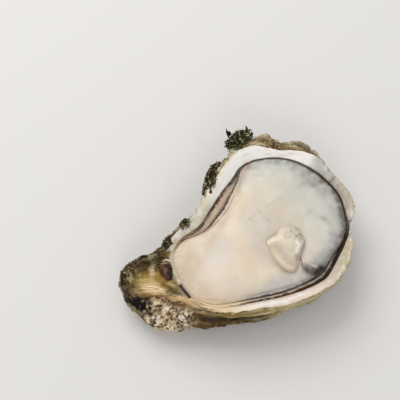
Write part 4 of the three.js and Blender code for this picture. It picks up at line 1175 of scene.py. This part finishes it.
coats(tint, grid, [
    (smoky, 0.85, 0.9, lumps(walk(u, inside * 0.8), 1.7, 127), (116, 107, 98)),
    (0.5 * smoky * lumps(walk(u, inside * 0.5), 0.8, 137), (84, 74, 64)),
    (0.75 * spot(x, y, 30, 22.6, 5, 1.3, -0.25), 0.9, 1, (1.4, 129), (140, 142, 136)),
    (0.55 * spot(x, y, 27, 21, 15, 4.4, -0.3), 1, 0.4, (2.4, 128), (206, 208, 206)),
    (0.6 * stroke(x, y, CRESCENT, 1.9), 1, 0.25, (2, 125), TEAL),
    (0.6 * stroke(x, y, np.array(CRESCENT) + [1.6, -2], 1.4), (150, 139, 142)),
    (0.6 * low_side * np.exp(-inside / 3), 0.9, 0.8, lumps(walk(u, inside * 2), 2, 126), GREY_SHADE),
    (0.95 * stroke(x, y, SHADED, 2.4), (176, 158, 142)),
    (0.75 * stroke(x, y, BESIDE_STRIP, 2.8), 1, 0.4, (3, 139), (208, 188, 162)),
    (0.45 * spot(x, y, -17, -8, 6, 4, 0.4), (212, 194, 170)),
    (0.7 * spot(x, y, -6.6, -28, 7, 3, -0.1), (240, 230, 214)),
    # painted shade: a little darker along the creases
    (0.27 * crease, CREASE),
    (0.9 * left_strip, STRIP_ROSE),
    ((0.75 + 0.2 * along_rim(u, 25.8, 28.9)) * inner_line, inner_paint),
    # painted shadow: tan on the body beside the muscle's lower left
    (0.65 * bell(from_muscle, 0.8, 1.6) * spot(x, y, 14.4, -25, 7, 11, -0.4), (194, 174, 148)),
    (0.3 * bell(from_muscle, 0.3, 0.4) * spot(x, y, 15, -10.4, 5, 3, 0.5), LINE_BROWN),
    (0.5 * spot(x, y, 14, -32.6, 13, 3.2, 0.1), (208, 204, 202)),
    (0.7 * spot(x, y, 24.2, -23.6, 1, 2.4, -0.5), 0.9, 1, (0.9, 130), (140, 126, 92)),
    (0.9 * spot(x, y, 28.2, -31.6, 4.6, 2.2, -0.4), GREY_SHADE),
    (1.4 * pocket, 1, 0.3, (1.2, 136), (94, 85, 77)),
    (0.8 * stroke(x, y, [(23.8, -25.4), (23.2, -27.4), (23.2, -28.5), (23.6, -29.9)], 0.5), (96, 86, 70)),
    (1.1 * pocket_lip, (216, 206, 202)),
    (0.45 * stroke(x, y, BOTTOM_LINE, 0.5), (190, 150, 112)),
    (0.9 * peach_side, (226, 200, 166)),
])
body = skin(
    "body_and_upper_mantle",
    grid,
    tint=tint,
    inside=inside,
    line=line_at(u),
    line_width=line_width_at(u),
    brown=along_rim(u, 11.2, 15.6),
    deep=np.clip(deep, 0, 1),
    margin=walk(u, inside),
)

start, finish = new_material("wet oyster flesh")
flesh = start.mark("tint", "Color")
margin = start.mark("margin", "Vector")
inset = start.mark("inside")
line_width = start.mark("line_width")
ragged = start.grain(0.7, 2.0, margin) * 0.5 + start.grain(0.8, 2.0, margin.scaled(1, 1, 0.3)) * 0.5
veil = start.grain(6.0, 3.0)
reach = inset + (ragged - 0.5) * line_width * 3.4
pigment = start.mark("line") * (1 - reach.between(line_width * 0.5, line_width * 1.4))
fine_veins = start.grain(1.6, 4.0)
flesh = flesh.laid((244, 236, 224), veil.between(0.48, 0.66) * 0.25)
flesh = flesh.laid((206, 190, 170), fine_veins.between(0.56, 0.72) * 0.12)
# painted shade deep in the gill pocket
flesh = flesh.laid((8, 5, 3), start.mark("deep"))
flesh = flesh.laid((42, 29, 20), pigment)
flesh = flesh.laid((52, 28, 8), pigment * start.mark("brown"))
body_finish = finish(
    Base_Color=flesh,
    Roughness=0.44 + veil * 0.12,
    Coat_Weight=0.15,
    Coat_Roughness=0.25,
    Subsurface_Weight=0.25,
    Subsurface_Radius=(1.0, 0.62, 0.42),
    Subsurface_Scale=0.002,
    Normal=start.bumped(start.grain(2.6, 3.0) * 0.7 + fine_veins * 0.3, 0.14),
)
body.data.materials.append(body_finish)
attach(body, "root")
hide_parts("body")

# ---------------------------------------------------------------------------------------------------------
# The adductor muscle: the firm plug that held the shell shut, cut through by the knife. Most of it is
# smooth and cream, with a low ridge round its left side, and its part by the gills is grey and wrinkled.

# Painted light on the plug: highlights on the keel, the upper facet and the flake, and shade on its lower
# left side, in its hollow and in its wrinkles.
MUSCLE_CREAM, MUSCLE_LIT, MUSCLE_SHADE = (221, 209, 191), (236, 224, 201), (200, 181, 159)
MUSCLE_GREY, MUSCLE_LINE, MUSCLE_GLINT = (204, 193, 180), (128, 100, 70), (250, 245, 240)
middle = MUSCLE["x"], MUSCLE["y"]
a, rise, radius = rounded_plug(240, 120, MUSCLE_OUTLINE, middle, MUSCLE["blur"], 0.6)
x, y = MUSCLE["x"] + radius * np.cos(a), MUSCLE["y"] + radius * np.sin(a)
KEEL = [(12, -13), (12.3, -16), (12.6, -19), (13.6, -22.8), (15.4, -26.6), (18.2, -28.8)]
FACET = [(13.6, -13.2), (18.4, -14.6), (21.4, -17.6)]
HOLLOW = [(15, -16.6), (16.6, -20.4), (18, -25), (18.6, -27.4)]
keel, facet, hollow = stroke(x, y, KEEL, 0.85), stroke(x, y, FACET, 2.4), stroke(x, y, HOLLOW, 2.0)
keel_highlight = keel * np.clip(1 - spot(x, y, 12.4, -16, 2.4, 3.4), 0, 1)
wrinkled = np.clip(spot(x, y, 26.4, -14.6, 3.4, 5.4, 0.2) + spot(x, y, 22.6, -13, 3, 2.4), 0, 1)
WRINKLES = [
    [(26.4, -11), (27.2, -13), (27.6, -16), (27.4, -18.8)],
    [(24, -11.6), (25, -13.6), (25.2, -15.2), (26.6, -17)],
    [(25.4, -15.4), (26.6, -14.6), (27.4, -15.2)],
    [(25.2, -17.4), (26.2, -18.8), (27, -20.4)],
    [(25.8, -20.6), (24.4, -22), (22.8, -24), (21.2, -26.2)],
]
wrinkle = sum(stroke(x, y, path, 0.3) for path in WRINKLES)
flake = stroke(x, y, [(24.6, -18.2), (25.2, -19.6), (23.8, -21.4), (22.6, -22.6)], 0.95)
height = np.where(rise > 0, MUSCLE["rise"] * np.abs(rise) ** 1.3, MUSCLE["root"] * rise)
on_top = smooth(0, 0.4, rise)
plug = xyz(x, y, MUSCLE["base"] + height)
plug[..., 2] += on_top * (0.35 * keel + 0.35 * facet - 0.5 * hollow + 0.3 * flake)
puckers = 0.1 * lumps(plug, 3, 131) - 0.18 * wrinkle + 0.25 * wrinkled * lumps(plug, 1.4, 132)
plug[..., 2] += on_top * puckers

tint = base_coat(plug, MUSCLE_CREAM)
muscle_side_shade = bell(off_muscle(x, y), -0.5, 0.9) * spot(x, y, 14.4, -25, 6, 10, -0.4)
rim_line = bell(off_muscle(x, y), 0, 0.5)
coats(tint, plug, [
    (0.9 * hollow + 0.35 * lumps(plug, 2.6, 133), MUSCLE_SHADE),
    # painted shade: tan on the left side by the tip
    (0.8 * spot(x, y, 12.6, -16.4, 2.2, 3.6), (208, 190, 160)),
    # painted shade: tan round the lower left side
    (0.8 * muscle_side_shade, (200, 180, 150)),
    # painted highlight: lighter along the keel and on the upper facet
    (0.55 * keel_highlight + 0.5 * facet, MUSCLE_LIT),
    (0.7 * wrinkled, 0.8, 0.8, (1.2, 134), MUSCLE_GREY),
    # painted shade: darker down in the wrinkles
    (0.5 * wrinkle, 0.9, 0.9, (1.1, 135), (120, 104, 82)),
    # painted highlight: a near-white glint on the wet flake
    (0.9 * flake, MUSCLE_GLINT),
    (0.7 * spot(x, y, 21.4, -24.6, 1.1, 2.4, -0.6), (176, 162, 122)),
    (rim_line * (0.08 + 0.9 * spot(x, y, 15.4, -10.9, 3.4, 2, 0.3)), MUSCLE_LINE),
    (rim_line * 0.6 * spot(x, y, 27.6, -15, 4, 8, 0.1), MUSCLE_LINE),
    (rim_line * 0.5 * spot(x, y, 23.4, -24.4, 3.4, 2, 0.95), MUSCLE_LINE),
])
muscle = skin("adductor_muscle_plug", plug, tint=tint)

start, finish = new_material("cut muscle")
strands = start.grain(1, 2.0, start.place().scaled(700, 700, 60))
meat = start.mark("tint", "Color").laid((244, 236, 220), strands.between(0.5, 0.7) * 0.2)
muscle_finish = finish(
    Base_Color=meat,
    Roughness=0.36 + strands * 0.15,
    Coat_Weight=0.25,
    Coat_Roughness=0.2,
    Subsurface_Weight=0.25,
    Subsurface_Radius=(1.0, 0.6, 0.4),
    Subsurface_Scale=0.002,
    Normal=start.bumped(strands, 0.12),
)
muscle.data.materials.append(muscle_finish)
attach(muscle, "root")
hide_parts("adductor_muscle")

# ---------------------------------------------------------------------------------------------------------
# Weed and crust: dark clumps of seaweed, silt and old worm tubes that grew on the outside of the
# valve's upper edge. Each is a rough lump with short curled fronds all over it.

# Each clump: the solid that it dresses, its middle, half sizes and turn, its fronds and their lengths.
WEED = [
    ("weed_tuft_rim", (17.8, 38.4, 24), (7.2, 4.4, 3.6), 0.3, 340, (1.6, 3.6)),
    ("weed_clump_side", (-0.9, 24.9, 23), (9.6, 3.6, 4.2), 0.9, 240, (0.9, 1.9)),
    ("weed_patch_cup", (-20.2, 8.4, 22.6), (3.4, 2.4, 2.6), 0.5, 70, (0.8, 1.6)),
    ("weed_patch_hinge", (-30.2, 3.6, 20.4), (4.4, 2.3, 2.8), 0.6, 90, (0.8, 1.6)),
]
WEED_CARD = [
    (46, 37, 22), (66, 50, 26), (62, 64, 28), (96, 102, 48), (34, 30, 24), (124, 116, 112),
    (184, 180, 140),
]
WEED_COLOURS = [colour(*card) for card in WEED_CARD]
GREEN_SHARES = [0.16, 0.15, 0.24, 0.15, 0.1, 0.13, 0.07]
BROWN_SHARES = [0.28, 0.3, 0.06, 0.02, 0.14, 0.08, 0.12]
# The tall curls of the tuft: where each starts, the way it grows, and its length.
CURLS = [
    ((14.4, 42.2, 25), (-0.1, 0.9, 0.4), 6), ((15, 42.4, 25), (0.1, 0.9, 0.3), 4.5),
    ((13.8, 41.8, 25), (-0.3, 0.9, 0.3), 5), ((21.8, 41.2, 25), (0.25, 0.9, 0.4), 6),
    ((22.4, 40.8, 25), (0.5, 0.8, 0.3), 5), ((21.2, 41.4, 25), (0, 1, 0.3), 4.5),
]
CURL_WIDTH = 1.2
FROND_RINGS, FROND_SIDES = 6, 4
CLUMP_SEGMENTS, CLUMP_RINGS = 96, 60


def frond(draw, length, width):
    """One curled frond: a flat stem that tapers to its tip, from the origin up."""
    share = np.linspace(0, 1, FROND_RINGS)
    curl = draw.uniform(0.6, 2.6)
    bend = curl * share * (1.2 + 0.4 * share)
    step = length / (FROND_RINGS - 1)
    stem_x = np.concatenate([[0], np.cumsum(step * np.sin(bend[1:]))])
    stem_z = np.concatenate([[0], np.cumsum(step * np.cos(bend[1:]))])
    half = width / 2 * np.sin(np.pi * (0.25 + 0.7 * share)) ** 0.8
    rings = []
    for k in range(FROND_RINGS):
        for side in range(FROND_SIDES):
            angle = TURN * side / FROND_SIDES + draw.uniform(-0.2, 0.2)
            flat, thick = half[k] * math.sin(angle), 0.4 * half[k] * math.cos(angle)
            out, down = thick * math.cos(bend[k]), thick * math.sin(bend[k])
            rings.append((stem_x[k] + out, flat, stem_z[k] - down))
    return np.array(rings)


frond_faces = [
    (
        k * FROND_SIDES + side,
        k * FROND_SIDES + (side + 1) % FROND_SIDES,
        (k + 1) * FROND_SIDES + (side + 1) % FROND_SIDES,
        (k + 1) * FROND_SIDES + side,
    )
    for k in range(FROND_RINGS - 1)
    for side in range(FROND_SIDES)
]
frond_faces += [(3, 2, 1, 0), tuple((FROND_RINGS - 1) * FROND_SIDES + side for side in range(FROND_SIDES))]

start, finish = new_material("weed and silt")
weed_tint = start.mark("tint", "Color")
silt = start.grain(0.7, 4.0)
weed_tint = weed_tint.laid((30, 24, 16), silt.between(0.5, 0.66) * 0.5)
weed_tint = weed_tint.laid((150, 142, 116), start.grain(1.3, 3.0).between(0.6, 0.74) * 0.4)
weed_finish = finish(
    Base_Color=weed_tint, Roughness=0.82, Specular_IOR_Level=0.3, Normal=start.bumped(silt, 0.3)
)

for number, (name, middle, half, turn, count, lengths) in enumerate(WEED):
    draw = np.random.default_rng(number + 1)
    a = TURN * np.arange(CLUMP_SEGMENTS) / CLUMP_SEGMENTS
    b = (np.linspace(0, 1, CLUMP_RINGS + 1)[:, None] - 0.5) * math.pi
    lobes = 0.16 * np.sin(5 * a + number + 1) + 0.12 * np.sin(7 * a + 6 * b + 2 * (number + 1))
    swell = 0.86 * (1 + lobes * np.cos(b))
    clump = xyz(np.cos(b) * np.cos(a), np.cos(b) * np.sin(a), np.sin(b)) * half * swell[..., None]
    clump = turned(clump, turn, *middle)
    hole, _ = bubbles(clump, 1.7, 140)
    hollow = (1 - smooth(0.2, 0.45, hole)) * np.cos(b) ** 0.3
    bumps = 0.6 * lumps(clump, 2, 141) + 0.35 * lumps(clump, 0.9, 142) - 0.9 * hollow
    clump = clump + bumps[..., None] * facing(clump)
    clump[0], clump[-1] = clump[0].mean(0), clump[-1].mean(0)
    tint = base_coat(clump, WEED_CARD[1])
    coats(tint, clump, [
        (float(number != 1), 0.5, 1, (2.4, 143), WEED_CARD[2]),
        (1, -0.3, 1.4, (1.2, 144), WEED_CARD[6]),
        # painted shade: dark down in the clump's hollows
        (hollow * 1.2, (26, 21, 15)),
    ])
    lump = skin(name + "_clump", clump, tint=tint)

    growth = []
    for _ in range(count):
        angle, height = draw.uniform(0, TURN), draw.uniform(-0.55, 1)
        level = math.sqrt(1 - height * height)
        unit = np.array([level * math.cos(angle), level * math.sin(angle), height])
        grow = turned(unit / half, turn, 0, 0, 0)
        grow = grow / np.linalg.norm(grow) + draw.normal(0, 0.45, 3)
        root = turned(unit * half * 0.84, turn, *middle)
        growth.append((root, grow, draw.uniform(*lengths), draw.uniform(0.35, 0.85)))
    if number == 0:
        growth += [(np.array(root), np.array(grow), length, CURL_WIDTH) for root, grow, length in CURLS]
    shares = BROWN_SHARES if number == 1 else GREEN_SHARES
    vertices, faces, tints = [], [], []
    for root, grow, length, width in growth:
        grow = grow / np.linalg.norm(grow)
        side = np.cross(grow, draw.normal(0, 1, 3))
        side = side / np.linalg.norm(side)
        axes = np.stack([np.cross(side, grow), side, grow])
        leaf = frond(draw, length, width)
        faces += [tuple(corner + len(vertices) * len(leaf) for corner in face) for face in frond_faces]
        vertices.append(root + leaf @ axes)
        paint = WEED_COLOURS[draw.choice(len(WEED_COLOURS), p=shares)]
        tints.append(np.broadcast_to(paint * draw.uniform(0.7, 1.25), leaf.shape))
    vertices = np.concatenate(vertices)
    mesh = bpy.data.meshes.new(name + "_fronds")
    mesh.from_pydata(vertices.tolist(), [], faces)
    fronds = bpy.data.objects.new(name + "_fronds", mesh)
    bpy.context.scene.collection.objects.link(fronds)
    shape(fronds, vertices)
    mark(fronds, "tint", np.concatenate(tints))

    bpy.ops.object.select_all(action="DESELECT")
    fronds.select_set(True)
    lump.select_set(True)
    bpy.context.view_layer.objects.active = lump
    bpy.ops.object.join()
    lump.data.materials.append(weed_finish)
    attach(lump, "root")
    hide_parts(name)

# ---------------------------------------------------------------------------------------------------------
# The table it stands on, the light and the camera: a plain pale table, one large soft lamp from behind,
# a weak one in front, and a pale room.

bpy.ops.object.select_all(action="DESELECT")
bpy.ops.mesh.primitive_plane_add(size=3)
table = bpy.context.object
table.name = "table"
start, finish = new_material("pale table")
table_finish = finish(Base_Color=(*colour(232, 231, 230), 1), Roughness=0.6, Specular_IOR_Level=0.2)
table.data.materials.append(table_finish)

VIEW_AIM = np.array([-8.77, 18.51, 20]) / METRE
VIEW_TURN, VIEW_TILT, VIEW_DISTANCE, VIEW_LENS = math.radians(-20), math.radians(20), 0.52, 100
ROOM_LIGHT, ROOM_BRIGHTNESS = (1.0, 0.99, 0.985, 1), 0.525
LAMP_AIM = [0, 0, 0.01]


def lamp(name, position, size, watts, warmth):
    bpy.ops.object.light_add(type="AREA", location=position)
    light = bpy.context.object
    light.name = name
    light.data.shape = "DISK"
    light.data.size = size
    light.data.energy = watts
    light.data.color = warmth
    toward = np.array(LAMP_AIM) - position
    level = math.hypot(toward[0], toward[1])
    turn = math.atan2(toward[1], toward[0]) - math.pi / 2
    light.rotation_euler = (math.atan2(level, -toward[2]), 0, turn)


lamp("soft_key", (-0.15, 0.76, 0.85), 0.9, 7.2, (1.0, 0.985, 0.96))
lamp("front_fill", (-0.3, -0.9, 0.8), 0.6, 1.9, (1.0, 0.99, 0.98))

world = bpy.data.worlds.new("pale room")
bpy.context.scene.world = world
world.use_nodes = True
background = world.node_tree.nodes["Background"].inputs
background["Color"].default_value, background["Strength"].default_value = ROOM_LIGHT, ROOM_BRIGHTNESS
bpy.context.scene.view_settings.view_transform = "Standard"

level = math.sin(VIEW_TILT)
back = np.array([math.sin(VIEW_TURN) * level, -math.cos(VIEW_TURN) * level, math.cos(VIEW_TILT)])
bpy.ops.object.camera_add(location=VIEW_AIM + VIEW_DISTANCE * back, rotation=(VIEW_TILT, 0, VIEW_TURN))
camera = bpy.context.object
camera.data.lens = VIEW_LENS
camera.data.sensor_width = 36
camera.data.clip_start = 0.01
bpy.context.scene.camera = camera
